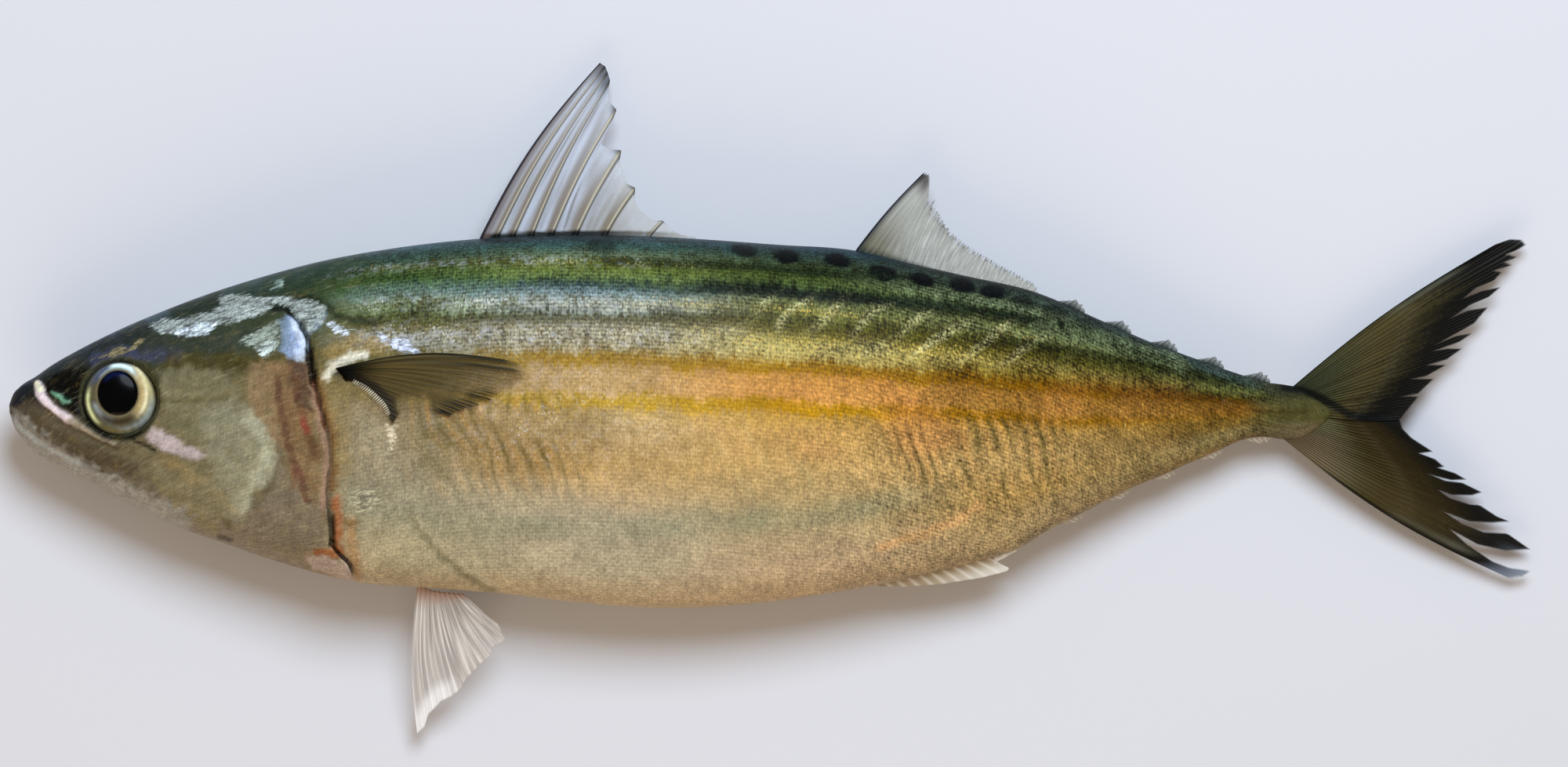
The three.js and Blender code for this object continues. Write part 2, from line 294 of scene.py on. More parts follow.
# Colours on the way up the flank of the trunk, at five places along the fish.
BAND_PLACES = (62, 95, 130, 165, 198)
BANDS = [
    ("belly edge", 0, (165, 148, 118), (180, 158, 122), (172, 148, 114), (150, 132, 98), (130, 106, 62)),
    ("belly", 0.08, (176, 164, 132), (178, 166, 140), (184, 160, 128), (160, 138, 98), (124, 108, 68)),
    ("lower flank", 0.2, (136, 132, 110), (176, 160, 134), (162, 146, 110), (162, 132, 78), (126, 112, 72)),
    ("flank", 0.34, (144, 132, 108), (180, 148, 96), (184, 152, 98), (165, 136, 86), (108, 86, 40)),
    ("upper flank", 0.44, (132, 118, 90), (178, 154, 112), (186, 146, 84), (160, 128, 72), (110, 84, 32)),
    ("above that", 0.475, (130, 112, 84), (182, 156, 104), (182, 142, 68), (148, 110, 42), (118, 88, 32)),
    ("lower mustard", 0.489, (126, 112, 72), (182, 148, 50), (174, 128, 16), (132, 92, 10), (118, 86, 28)),
    ("its upper half", 0.509, (122, 106, 68), (180, 148, 56), (176, 130, 22), (134, 92, 14), (118, 84, 28)),
    ("pink band", 0.525, (118, 104, 70), (178, 148, 100), (196, 140, 74), (146, 106, 46), (124, 88, 34)),
    ("top of the pink", 0.574, (114, 102, 64), (174, 144, 96), (192, 138, 66), (140, 98, 38), (106, 74, 22)),
    ("upper mustard", 0.589, (108, 98, 54), (150, 116, 30), (150, 108, 12), (114, 76, 2), (78, 50, 2)),
    ("its upper half", 0.609, (112, 102, 62), (146, 116, 40), (144, 108, 20), (108, 74, 4), (74, 48, 2)),
    ("foot of silver", 0.627, (132, 132, 118), (146, 134, 100), (164, 146, 82), (108, 90, 28), (66, 50, 6)),
    ("silver band", 0.655, (122, 120, 102), (150, 144, 124), (152, 142, 86), (116, 104, 50), (66, 62, 20)),
    ("top of silver", 0.678, (96, 92, 52), (150, 144, 120), (118, 108, 50), (82, 74, 20), (78, 80, 36)),
    ("olive line", 0.692, (70, 72, 32), (98, 94, 70), (76, 70, 20), (50, 46, 6), (76, 76, 34)),
    ("its upper half", 0.708, (70, 76, 36), (80, 80, 56), (72, 68, 18), (56, 54, 10), (74, 76, 36)),
    ("foot of pale", 0.722, (94, 106, 70), (114, 120, 112), (76, 76, 28), (78, 78, 34), (76, 82, 40)),
    ("pale band", 0.745, (106, 118, 90), (140, 144, 130), (102, 102, 50), (96, 102, 64), (72, 80, 42)),
    ("top of pale", 0.772, (92, 112, 102), (112, 132, 136), (98, 104, 64), (84, 90, 52), (62, 70, 42)),
    ("dark line", 0.787, (84, 108, 88), (66, 84, 80), (32, 38, 28), (46, 50, 24), (46, 56, 38)),
    ("its upper half", 0.812, (60, 82, 44), (78, 96, 60), (24, 32, 22), (38, 46, 20), (44, 54, 40)),
    ("foot of the green", 0.83, (52, 72, 36), (98, 114, 66), (56, 70, 38), (60, 70, 42), (44, 56, 46)),
    ("green band", 0.855, (70, 90, 48), (84, 96, 42), (68, 82, 38), (92, 104, 76), (46, 60, 54)),
    ("gold green band", 0.88, (72, 84, 56), (86, 94, 46), (42, 52, 24), (86, 98, 72), (50, 62, 56)),
    ("dark green line", 0.91, (46, 68, 54), (88, 102, 76), (52, 64, 38), (44, 54, 44), (44, 56, 50)),
    ("green ridge", 0.955, (42, 64, 56), (48, 74, 70), (38, 54, 46), (44, 56, 46), (44, 58, 56)),
    # The blue at the top of the ridge is partly the back's own colour and partly painted reflection of the
    # bluish light.
    ("blue ridge with painted reflection", 1, (60, 84, 96), (50, 70, 80), (32, 52, 64), (8, 14, 14), (40, 50, 50)),
]

# Skin colours of the head from the belly (level 0) to the ridge (level 1), at three places. The bluish
# tops are partly the head's own colour and partly painted reflection.
HEAD_RAMPS = [
    (8, [(0, (130, 124, 114)), (0.14, (96, 88, 76)), (0.25, (84, 76, 60)), (0.45, (90, 79, 62)),
     (0.6, (72, 63, 52)), (0.75, (30, 30, 25)), (0.9, (37, 40, 37)), (0.96, (51, 63, 76)),
     (1, (74, 92, 111))]),
    (34, [(0, (134, 123, 106)), (0.2, (113, 104, 77)), (0.45, (116, 107, 81)), (0.6, (107, 99, 70)),
     (0.7, (63, 62, 37)), (0.8, (58, 65, 48)), (0.88, (46, 56, 44)), (0.95, (44, 55, 49)),
     (1, (69, 90, 99))]),
    (58, [(0, (127, 107, 79)), (0.12, (139, 128, 100)), (0.4, (128, 116, 88)), (0.6, (111, 97, 63)),
     (0.7, (99, 90, 56)), (0.8, (79, 86, 63)), (0.88, (58, 74, 42)), (0.94, (39, 55, 37)),
     (1, (51, 74, 74))]),
]

# Marks on the skin: width, softness, colour, strength and line. A mark with no width is an area, and
# its line is the area's outline. Some marks are painted shade, shadows, highlights or reflections, as
# their names and notes say.
MARKS = [
    ("dark crown", 1.4, 1.2, (28, 34, 32), 0.8, [(4, 4.6), (9, 7.8), (15, 10.4), (22, 13.2)]),
    ("dark oval", 1.6, 0.9, (30, 42, 30), 0.9, [(27.8, 15.8), (31.4, 17), (34.4, 18)]),
    ("dark nape", 2.2, 1.2, (34, 54, 36), 0.7, [(37, 19.6), (43, 21), (50, 22.4), (58, 23.6)]),
    ("blue over the eye", 1.2, 1.2, (62, 66, 96), 0.7, [(14.6, 7.6), (18, 8.8), (23, 9), (28, 8.8)]),
    ("dark band over the cheek", 1.8, 1.8, (50, 56, 48), 0.8, [(23, 11), (30, 10.6), (37, 10.6), (41, 11.6)]),
    ("brown band over the cheek", 1.4, 1.4, (65, 58, 25), 0.75, [(27, 7.6), (33, 7.4), (38, 7.6), (43, 6.6)]),
    ("upper cheek", None, 1.6, (114, 109, 84), 0.85, [(25, 6.4), (31, 6.8), (36.4, 6), (38.6, 2), (38.4, -2),
     (31, -2.6), (25.6, 0)]),
    ("green stain", None, 2, (106, 105, 80), 0.6, [(24.9, -1.6), (28, -2), (34, -1.2), (36, -4), (29, -5.6)]),
    ("pale cheek", None, 2.4, (138, 136, 114), 0.8, [(33, 1), (38, 1.2), (42.3, -3.2), (44.1, -5.4),
     (44.6, -7.2), (43.6, -8.8), (43.1, -10.6), (42.1, -12.9), (40.2, -13.9), (39.2, -16), (38.2, -19.4),
     (36.4, -17), (33.4, -9), (31.6, -3.4)]),
    ("bright rim of the cheek", 1.4, 1.4, (164, 164, 142), 0.75, [(40.2, -2), (42.6, -5), (43.4, -7.4),
     (42.2, -10.4), (40.4, -12.8), (38.6, -16.6)]),
    ("shade behind the cheek", 0.8, 1.4, (88, 80, 64), 0.6, [(45.2, -5), (45.4, -8), (44.4, -11.6),
     (41.8, -15), (40.2, -18)]),
    ("streak of the cheek", 0.3, 0.9, (88, 76, 50), 0.6, [(26, -9.8), (31, -14), (36.6, -19.2)]),
    ("second streak of the cheek", 0.3, 0.9, (150, 138, 102), 0.6, [(30, -10.6), (34, -13.4), (37.4, -16.8)]),
    ("third streak of the cheek", 0.4, 1, (132, 122, 84), 0.6, [(24, -11.8), (28.6, -15.4), (34, -20)]),
    ("gold lower cheek", None, 2.4, (130, 122, 96), 0.7, [(23, -8.4), (29, -9.6), (35, -13), (38.4, -18),
     (34, -18.6), (28, -15), (23.4, -12.6)]),
    ("lower cover", None, 1.4, (120, 109, 93), 0.9, [(44.2, -8), (44.6, -12), (42, -15.4), (38.6, -18.4),
     (38, -21.4), (46, -23.6), (52.4, -22.6), (52.4, -15), (49, -14), (46.6, -11)]),
    ("upper cover", None, 1.8, (136, 112, 84), 0.85, [(40, 7.8), (44.6, 7.4), (50, 6.6), (49.6, 0), (46, -7),
     (44.4, -6.4), (42, -2.6), (39.6, 1)]),
    ("red band of the cover", None, 4, (118, 90, 60), 0.75, [(44.4, 6.6), (49.6, 6.2), (51.4, -1), (53, -6.8),
     (52.2, -11.4), (51.8, -16), (49.6, -15.6), (46.8, -9.6), (45, -3.4)]),
    ("dark top of that band", 1.2, 1.8, (64, 46, 44), 0.7, [(47.6, 7), (48.6, 3.4), (49, 1)]),
    ("dark streak of the cover", 0.4, 0.8, (86, 58, 46), 0.7, [(44.4, 5), (45.2, -1), (47, -8),
     (49.4, -14.8)]),
    ("second streak of the cover", 0.3, 0.9, (92, 62, 46), 0.6, [(47.4, 5), (48.8, -1.6), (51, -8)]),
    ("blood on the cover", 0.4, 0.9, (152, 60, 54), 0.55, [(48.6, -2.2), (49.4, -3.4)]),
    ("blood lower down", 0.5, 1.4, (136, 84, 70), 0.3, [(47.4, -10), (48.4, -12)]),
    ("rosy rear edge", 0.5, 0.7, (151, 121, 104), 0.7, [(50.4, 3.4), (51.6, -1.6), (52.7, -6), (52.6, -10.4),
     (52.2, -16)]),
    ("orange behind the slit", 0.5, 0.8, (120, 81, 37), 0.7, [(51.2, 4.4), (52.4, 0.4), (53.6, -4.6),
     (54, -9), (53.4, -13)]),
    ("orange lower down", 0.7, 1, (162, 123, 81), 0.7, [(56.4, -18.6), (56.8, -23), (57.4, -27.6)]),
    ("red of the throat", 0.6, 0.8, (150, 84, 44), 0.8, [(54.2, -15), (54.4, -19), (54.6, -23.4),
     (51, -23.6)]),
    # Painted shade: near-black in the gill opening at the throat.
    ("dark of the slit", 0.5, 0.5, (36, 18, 12), 0.95, [(53.3, -18), (53.5, -22)]),
    # Painted shadow: a short dark line behind the gill opening at the throat.
    ("painted shadow line behind it", 0.2, 0.7, (96, 78, 46), 0.7, [(55.8, -18.7), (57.8, -18.8)]),
    ("throat flap", None, 0.7, (172, 155, 144), 0.9, [(48.9, -24.4), (51.9, -23.9), (55.7, -25),
     (56.9, -28.6), (54.4, -28), (50, -26.4)]),
    ("throat", 1, 1.2, (137, 125, 106), 0.6, [(36, -21.6), (42, -23.6), (48, -25.6)]),
    ("dark spot of the throat", 0.4, 0.5, (76, 68, 52), 0.8, [(34.8, -21.3), (36.4, -21.7)]),
    ("upper jaw bone", None, 1.2, (77, 67, 49), 0.8, [(3.6, 0), (7, -3), (12, -5.4), (18, -7.6), (23, -9.6),
     (20, -11), (13, -9), (6, -5.8), (2, -2.6)]),
    ("edge of the jaw", 0.3, 0.8, (64, 54, 38), 0.75, [(0.2, -1), (2, -2.9), (4.9, -5.3), (8.8, -7.4),
     (12.9, -9.3), (18, -11.4)]),
    ("pale lower jaw", 3, 2.4, (158, 156, 150), 0.9, [(1.2, -3.6), (4.6, -7.1), (9, -10.1), (14, -12.9),
     (20, -15.7), (27, -18.8)]),
    ("snout cap", None, 0.9, (24, 28, 36), 0.95, [(0, 0.4), (0.6, 2), (2, 3.4), (4.4, 4.6), (4, 3),
     (2.6, 1.4), (1, 0.2)]),
    # Painted shadow: near-black in the hollow in front of the eye, running on as a crescent below it.
    ("painted shadow in the hollow before the eye", None, 0.7, (9, 9, 8), 0.97, [(6.2, 2.8), (6, 4), (7.4, 5.4), (10, 6.5),
     (12.6, 6.9), (13.4, 5.6), (12.6, 3.6), (12.2, 1), (13, -1.6), (15.4, -3.7), (18.4, -5.2), (15.2, -3.9),
     (11.4, -1.4), (9, 0.2)]),
    # Painted highlight along the raised edge of the upper lip, brightest at its front tip and dimmer towards
    # its end.
    ("painted highlight on the lip", 0.8, 0.45, (228, 212, 220), 0.95, [(4.9, 3.9), (5.3, 2.2), (7, 0.3), (8.8, -1), (10.4, -2)]),
    ("dim end of that painted highlight", 0.6, 0.6, (164, 152, 134), 0.85, [(10.4, -2), (12.4, -3.2), (15, -4.4),
     (17.6, -5.3)]),
    ("bright tip of that painted highlight", 0.5, 0.4, (232, 228, 196), 0.9, [(4.7, 4), (5.3, 2.8)]),
    ("nostril rim", None, 0.6, (126, 176, 146), 0.9, [(7.1, 2.7), (8.6, 2.2), (10, 1.2), (9.2, 0.8),
     (8, 1.6)]),
    ("nostril", 0.3, 0.3, (16, 40, 30), 0.95, [(9.2, 1.9), (9.7, 1.5)]),
    # Painted shade: a near-black line in the crease that runs back under the eye.
    ("painted shade in the crease below the eye", 0.14, 0.3, (20, 17, 12), 0.95, [(20.2, -5), (22.2, -5.9), (24.2, -7)]),
    ("silver below the eye", None, 0.8, (190, 176, 180), 0.85, [(22.7, -4.8), (24, -3.2), (25.6, -3.8),
     (28, -5.2), (31, -6.8), (32.8, -7.9), (30.4, -8.3), (27.6, -7.6), (25, -6.4), (23.4, -5.6)]),
    ("gold below that", 0.6, 1.2, (138, 116, 70), 0.4, [(25.6, -8), (28, -9.6), (31, -12)]),
    ("crease behind the eye", 0.12, 0.6, (84, 78, 44), 0.55, [(25.2, 1.2), (28.4, 1), (32.6, 1.4),
     (37, 1.8)]),
    ("dark root of the side fin", 0.8, 0.9, (20, 20, 14), 0.9, [(54.2, 6.2), (56.6, 5.6)]),
    ("edge of the crown", 0.3, 0.7, (26, 35, 25), 0.85, [(46.6, 18), (50, 18.2), (52.6, 17), (54.2, 15),
     (57, 14.2), (60.6, 14)]),
    ("gold on the shoulder", 1.3, 1.6, (146, 122, 70), 0.7, [(53.8, 9.4), (57, 10.6), (62, 10)]),
    ("gold by the slit", 1.2, 1.6, (139, 120, 79), 0.6, [(52.4, 5), (53.4, 1), (55, -4), (55.4, -10)]),
    # Painted highlight: pale crumpled skin below the root of the side fin.
    ("painted highlight on the crumpled skin under the side fin", None, 2.4, (150, 141, 116), 0.6, [(57, 1), (61, -2), (63.6, -5),
     (62.4, -10), (58, -6)]),
    ("grey behind the fin", None, 3, (118, 108, 74), 0.6, [(66, -2), (71.6, -1.4), (73.4, -7), (72, -12.6),
     (67.6, -10)]),
    ("brown flank behind the fin", None, 4, (122, 98, 52), 0.5, [(72, 1), (80, -1.4), (88, 2), (97, 1),
     (100, -5), (95, -10), (84, -12), (75, -10), (71, -5)]),
    # Painted shade in the fold along the lower belly, with a painted highlight on its lit side.
    ("painted shade in the fold of the belly", 0.3, 0.8, (118, 112, 84), 0.7, [(66, -17.6), (67.4, -19.6), (71, -24),
     (74.7, -27.4), (79.4, -30)]),
    ("painted highlight on that fold", 0.2, 0.7, (186, 178, 150), 0.5, [(67.4, -18.4), (71.8, -23.4), (75.6, -26.8),
     (80.2, -29.4)]),
    ("dark line under the green", 0.5, 0.8, (20, 30, 24), 0.7, [(114, 19.5), (126, 19), (138, 17.8),
     (150, 17.3), (160, 16), (172, 13.8), (184, 10.4)]),
    ("dark line in the green", 0.4, 0.9, (20, 32, 20), 0.65, [(98, 24.2), (114, 23.7), (124, 23.1),
     (132, 22.2), (141, 21.9), (147, 21.4)]),
    ("olive line of the rear", 0.5, 0.9, (26, 30, 6), 0.75, [(165, 11), (170, 10.3), (180, 8.6), (192, 6),
     (200, 3.9)]),
    ("green above that line", 1.3, 1.1, (96, 108, 76), 0.6, [(169, 13.4), (176, 11.9), (184, 9.9), (193, 7)]),
    ("gold edge of the belly", 0.3, 1.2, (206, 158, 104), 0.6, [(143, -22.8), (153.2, -19.8), (160, -16)]),
    # Painted reflection of the bluish light on the upper corner of the gill cover, with a painted highlight
    # on its edge and a duller grey-blue side.
    ("painted blue reflection on the corner of the cover", None, 1.1, (158, 182, 226), 0.9, [(46, 15), (47.2, 14.8), (48.5, 13.4),
     (49.2, 11.6), (49.5, 10), (49.2, 8.5), (48.2, 7.8), (46.7, 8), (45.4, 9.2), (45.6, 11.6), (45.7, 13.4)]),
    ("painted highlight on the edge of that corner", 0.5, 1.2, (212, 226, 248), 0.85, [(47.4, 13.6), (48.5, 12), (48.8, 10),
     (48.4, 8.6)]),
    ("grey side of that painted reflection", 0.5, 1.1, (112, 132, 152), 0.7, [(45.9, 13.6), (46, 11.4), (45.8, 9.6)]),
    # Painted reflection of the bluish light just behind the upper end of the gill opening.
    ("painted blue reflection behind the slit", None, 1.1, (138, 166, 204), 0.85, [(49.7, 12.6), (50.4, 14.6), (52, 15.6),
     (52.5, 14.6), (51, 12.9)]),
    ("white skin over the side fin", 0.5, 0.9, (230, 226, 208), 0.9, [(52.9, 5.4), (53.7, 6.9), (55.2, 7.9),
     (57, 8.5), (58.9, 8.8)]),
    ("its grey middle", 0.3, 0.6, (150, 140, 112), 0.6, [(53.6, 6.4), (55.4, 7.2)]),
    ("dark hook over the cover", 0.6, 0.6, (16, 20, 16), 0.95, [(43.6, 16.4), (45, 16.3), (46.4, 15.8)]),
    # Painted shade: near-black in the gill opening behind the upper edge of the cover.
    ("slit above", 0.22, 0.4, (14, 18, 22), 0.95, [(46.4, 15.6), (48, 13.8), (49.2, 11.8), (49.8, 9.6)]),
    ("slit", 0.9, 0.5, (16, 8, 8), 0.97, [(49.8, 9.4), (50, 7), (50.6, 4)]),
    ("dark line below it", 0.16, 0.5, (84, 40, 26), 0.85, [(50.6, 4), (51.5, 0.6), (52.6, -3.6)]),
]

# Dark spots in a row under the ridge of the back: centre and strength.
RIDGE_SPOTS = [
    ((97.4, 26.6), 0.6), ((121, 25.8), 0.9), ((127.9, 24.9), 1), ((136.5, 24.3), 1), ((143.8, 22.1), 1),
    ((150.3, 20.9), 1), ((156.7, 20.2), 1), ((161.9, 19.1), 1), ((167, 17.4), 0.7), ((172, 15.8), 0.6),
    ((177.6, 13.6), 0.5)]

# Silver flakes that shine through thin skin: softness, colour and outline. Their edges are ragged.
# Their pale bluish tones are partly the silver's own colour and partly painted reflection.
FLAKES = [
    (1.3, (154, 163, 162), [(23, 13.6), (25.4, 14.6), (28.4, 14.6), (31, 15.2), (33.4, 15.8), (35, 16.8),
     (34.4, 18.3), (36.4, 18.7), (41.5, 18.2), (46.2, 18.3), (50.8, 17.4), (52.5, 16.2), (52.8, 15.2),
     (52.1, 14.2), (50.8, 12.8), (49.8, 12), (48.4, 14), (47.2, 15.2), (46.2, 16.6), (43.4, 17), (43.2, 16),
     (41.5, 15.2), (38.4, 14.1), (34.2, 13.4), (33, 12.2), (30.6, 11.9), (28, 11.9), (25.3, 12.2)]),
    (1.2, (206, 220, 232), [(28, 12.2), (31, 13.4), (34, 13.6), (33, 12.1), (30.6, 11.8)]),
    (2, (138, 150, 142), [(38.4, 11), (41.5, 12.6), (43.6, 14.1), (44.9, 14), (44.9, 10), (43.6, 9), (42, 8),
     (41.2, 9.4)]),
    (1.2, (182, 196, 196), [(41.8, 8.2), (43, 9.2), (43.8, 10.6), (42.8, 10.2), (41.6, 9.2)]),
    (0.9, (190, 200, 214), [(52.6, 13.6), (53.4, 14.5), (54.2, 13.5), (55.8, 12.8), (57.6, 12.6),
     (55.5, 11.7), (53.9, 12.2)]),
    (0.9, (192, 200, 224), [(60.9, 12.1), (62.4, 12.2), (63.2, 11.3), (65.8, 11.3), (67.4, 9.6), (69, 8.6),
     (66.4, 8.8), (63.8, 9.7), (61.7, 10.9)]),
    (0.6, (128, 118, 88), [(13.6, 7.8), (16.8, 9), (17, 10), (20, 9.8), (21.6, 11.4), (22.6, 11.2),
     (21.4, 10), (19, 8.6), (16, 8.2)]),
    (1.4, (128, 148, 140), [(43.2, 19.4), (44, 21), (45.2, 21.3), (45.2, 19.8)]),
    (2.4, (152, 148, 126), [(55.6, -14), (57.6, -17.2), (61, -17), (61.6, -14.6), (58.6, -12.6)]),
    # Painted highlight on the crumpled skin below the side fin.
    (1.8, (176, 166, 142), [(62.4, -2.6), (64, -2.4), (64, -5), (62.8, -8), (62.6, -5)]),
]


def ring_angle(along, up):
    return np.degrees(np.arctan2(up - EYE_MIDDLE, along - EYE_ALONG))


def lay(colour, tone, mask):
    """Paints a tone over a colour where the mask is 1."""
    return colour * (1 - mask[:, None]) + np.asarray(tone) * mask[:, None]


GIRTH_PARTS = 24


def girth(along, up):
    """How far each place is from the ridge of the back, in mm round the plain skin."""
    back, belly = back_line(along), belly_line(along)
    widest = belly + WIDEST_LEVEL * (back - belly)
    rise = np.where(up > widest, (up - widest) / (back - widest), (up - widest) / (widest - belly))
    rise = np.clip(rise, -1, 1)
    turn = np.arccos(np.sign(rise) * np.abs(rise) ** (squareness(along) / 2))
    total = np.zeros(len(along))
    last_up, last_height = section_point(along, turn * 0)
    for part in np.arange(1, GIRTH_PARTS + 1) / GIRTH_PARTS:
        next_up, next_height = section_point(along, turn * part)
        total += np.hypot(next_up - last_up, next_height - last_height)
        last_up, last_height = next_up, next_height
    return total


def stripe_place(along, up):
    """0 at the belly, 1 at the ridge, and the same value all along each stripe between them."""
    place = np.zeros(len(along))
    for (low, below), (high, above) in zip(GUIDES, GUIDES[1:]):
        start, end = below(along), above(along)
        share = np.clip((up - start) / np.maximum(end - start, 0.1), 0, 1)
        place = np.where(up >= start, low + (high - low) * share, place)
    return place


def folds(along, up, around):
    """Folds of thin skin over the ribs: a count that goes up by one at each fold, and their depth."""
    wander = ripple(along * 0.5, up * 0.6, 5, 95)
    count = (along - 0.36 * around + 1.5 * wander) / FOLD_PITCH
    cover = step(63, 71, along) * step(100, 86, along) * step(-17, -9, up) * step(4, 0, up)
    rear = step(139, 150, along) * step(178, 168, along) * step(-16, -11, up) * step(-0.5, -3, up)
    cover = np.maximum(cover, rear) * np.clip(0.65 + 0.9 * ripple(along, up, 6, 97), 0, 1)
    return count, cover


def paint_of(along, up):
    """Colour laid over the bands of the trunk: the whole head, and marks, spots and clouds behind it,
    among them painted shade, shadows, highlights and reflections.
    """
    drift_along = along + 0.5 * ripple(along, up, 3.1, 11)
    drift_up = up + 0.3 * ripple(along, up, 4.3, 37)
    back, belly = back_line(along), belly_line(along)
    level = np.clip((drift_up - belly) / np.maximum(back - belly, 1), 0, 1)

    spot = np.interp(drift_along, [ramp[0] for ramp in HEAD_RAMPS], range(len(HEAD_RAMPS)))
    head = np.zeros((len(along), 3))
    for i, (_, ramp) in enumerate(HEAD_RAMPS):
        tones = np.array([linear(*tone) for _, tone in ramp])
        knots = [knot for knot, _ in ramp]
        shade = np.stack([np.interp(level, knots, tones[:, part]) for part in range(3)], -1)
        head += shade * step(1, 0, np.abs(spot - i))[:, None]
    cover = step(60, 50, drift_along)
    paint = np.concatenate([head, np.ones((len(along), 1))], 1) * cover[:, None]

    def add(tone, mask):
        nonlocal paint
        paint = lay(paint, (*linear(*tone), 1), mask)

    for centre, strength in RIDGE_SPOTS:
        add((6, 10, 12), strength * patch(centre, 3.8, 1.9, -12, 0.45, drift_along, drift_up))
    add((18, 26, 28), 0.7 * stroke([(78, 27.8), (88, 28.3), (102, 28.4)], 0.4, 1.2, along, up))

    # Warm copper clouds over the rear flank, grey green ones over the belly.
    rear_flank = step(116, 130, along) * step(200, 180, along) * step(-12, -5, up) * step(7, 3, up)
    add((196, 126, 70), 0.34 * rear_flank * np.clip(1.3 * ripple(along * 0.7, up, 9, 61), 0, 1))
    line = [(60, -19.5), (85, -19.5), (110, -19.4), (135, -17), (160, -13)]
    green_line = step(62, 78, along) * step(160, 140, along) * stroke(line, 0.8, 3, drift_along, drift_up)
    add((126, 132, 106), 0.5 * green_line * np.clip(0.7 + 0.6 * ripple(along, up, 6, 67), 0, 1))
    low_belly = step(58, 68, along) * step(130, 100, along) * step(-29, -25, up) * step(-10, -16, up)
    add((150, 146, 124), 0.4 * low_belly * np.clip(0.8 + 1.3 * ripple(along * 0.5, up, 8, 71), 0, 1))

    # Towards the tail fin the bands fade to olive, and to a rosy grey below.
    add((58, 58, 36), 0.92 * step(202, 210, along))
    add((44, 48, 34), 0.75 * patch((212.6, 1.2), 9, 3.6, -22, 0.7, along, up))
    add((84, 80, 42), 0.7 * step(202, 209, along) * step(2.6, 0.6, up) * step(-4, -2.2, up))
    add((104, 92, 68), 0.85 * step(205, 212, along) * step(-1.8, -3.4, up))
    # Painted shade: the same near-black line in the fold between the tail lobes, carried on over the end of
    # the body.
    add((10, 14, 16), 0.85 * stroke([(210, 3.2), (213, 2.9), (215.9, 1.7), (218, 0.6)], 0.5, 0.8, along, up))

    shake_along = 0.36 * ripple(along, up, 1.9, 43) + 0.26 * ripple(along, up, 0.9, 45)
    shake_up = 0.36 * ripple(along, up, 1.9, 47) + 0.26 * ripple(along, up, 0.9, 49)
    thin = np.clip(0.95 + 0.4 * ripple(along, up, 1.5, 53), 0, 1)
    for _, width, soft, tone, strength, line in MARKS:
        near_along, near_up = along + soft * shake_along, up + soft * shake_up
        if width is None:
            mask = inside(line, soft, near_along, near_up)
        else:
            mask = stroke(line, width, soft, near_along, near_up)
        add(tone, strength * mask * (thin if soft > 1 else 1))

    # Clear lid round the eye, with painted shade in the crease where it meets the head, wider and darker
    # below the eye.
    from_eye = np.hypot(along - EYE_ALONG, up - EYE_MIDDLE)
    turn = ring_angle(along, up)
    add((84, 84, 58), 0.8 * step(7.2, 6.5, from_eye))
    low = step(-170, -140, turn) * step(-30, -60, turn)
    crease = bell(from_eye, LID_CREASE, 0.22 + 0.3 * low)
    add((9, 10, 8), crease * (0.7 + 0.3 * low))
    return np.clip(paint, 0, 1)


def dress(mesh, along, up, height):
    """Gives every point of a piece of skin what the skin's material reads."""
    around = girth(along, up)
    stripe = stripe_place(along, up)
    out = np.clip(height - mid_plane(along), -6, 6)
    give(mesh, "skin_place", np.stack([along * MM, around * MM, out * MM], -1))
    give(mesh, "stripe", stripe)
    paint = paint_of(along, up)
    give(mesh, "paint", paint[:, :3])
    give(mesh, "paint_cover", paint[:, 3])

    back = step(0.58, 0.66, stripe) * step(52, 64, along)
    rear = step(120, 160, along)
    calm_end = step(212, 204, along)
    front = np.interp(along, [0, 48, 62], [0.45, 0.7, 1])
    give(mesh, "liveliness", front + 1.4 * back * calm_end + rear * calm_end)

    count, cover = folds(along, up, around)
    give(mesh, "fold", count)
    give(mesh, "fold_cover", cover)
    wander = ripple(along, up, 7, 91)
    upper = step(112, 126, along) * step(178, 160, along)
    upper = upper * step(0.62, 0.67, stripe) * step(0.82, 0.76, stripe)
    lower = step(105, 120, along) * step(150, 138, along)
    lower = lower * step(0.22, 0.3, stripe) * step(0.5, 0.42, stripe)
    slant = np.where(stripe > 0.58, 0.95, -0.6)
    give(mesh, "seam", (along + slant * around + 1.2 * wander) / SEAM_PITCH)
    give(mesh, "seam_cover", upper * np.clip(0.75 + wander, 0, 1) + 0.4 * lower * np.clip(0.4 - wander, 0, 1))

    flake = np.zeros(len(along))
    flake_tone = np.tile(linear(176, 196, 204), (len(along), 1))
    for soft, tone, line in FLAKES:
        mask = inside(line, soft, along, up)
        flake_tone = lay(flake_tone, linear(*tone), (mask > 0.02).astype(float))
        flake = np.maximum(flake, mask)
    give(mesh, "flake", flake)
    give(mesh, "flake_colour", flake_tone)

    silver = bell(stripe, 0.655, 0.03) + 0.9 * bell(stripe, 0.745, 0.02)
    silver *= step(54, 64, along) * step(182, 150, along)
    gold = bell(stripe, 0.885, 0.022) * step(50, 58, along) * step(125, 90, along)
    flank = 0.25 * step(0.25, 0.4, stripe) * step(0.62, 0.57, stripe)
    flank = flank * step(60, 80, along) * step(205, 185, along)
    give(mesh, "glint", np.clip(silver + 0.8 * gold + flank, 0, 1))


def round_mesh(name, around, rings):
    """A ball of radius 1, and the places of its points, to be pulled into shape."""
    bm = bmesh.new()
    bmesh.ops.create_uvsphere(bm, u_segments=around, v_segments=rings, radius=1)
    mesh = bpy.data.meshes.new(name)
    bm.to_mesh(mesh)
    bm.free()
    return mesh, places_of(mesh)


def places_of(mesh):
    places = np.empty(len(mesh.vertices) * 3, np.float32)
    mesh.vertices.foreach_get("co", places)
    return places.reshape(-1, 3).astype(float)


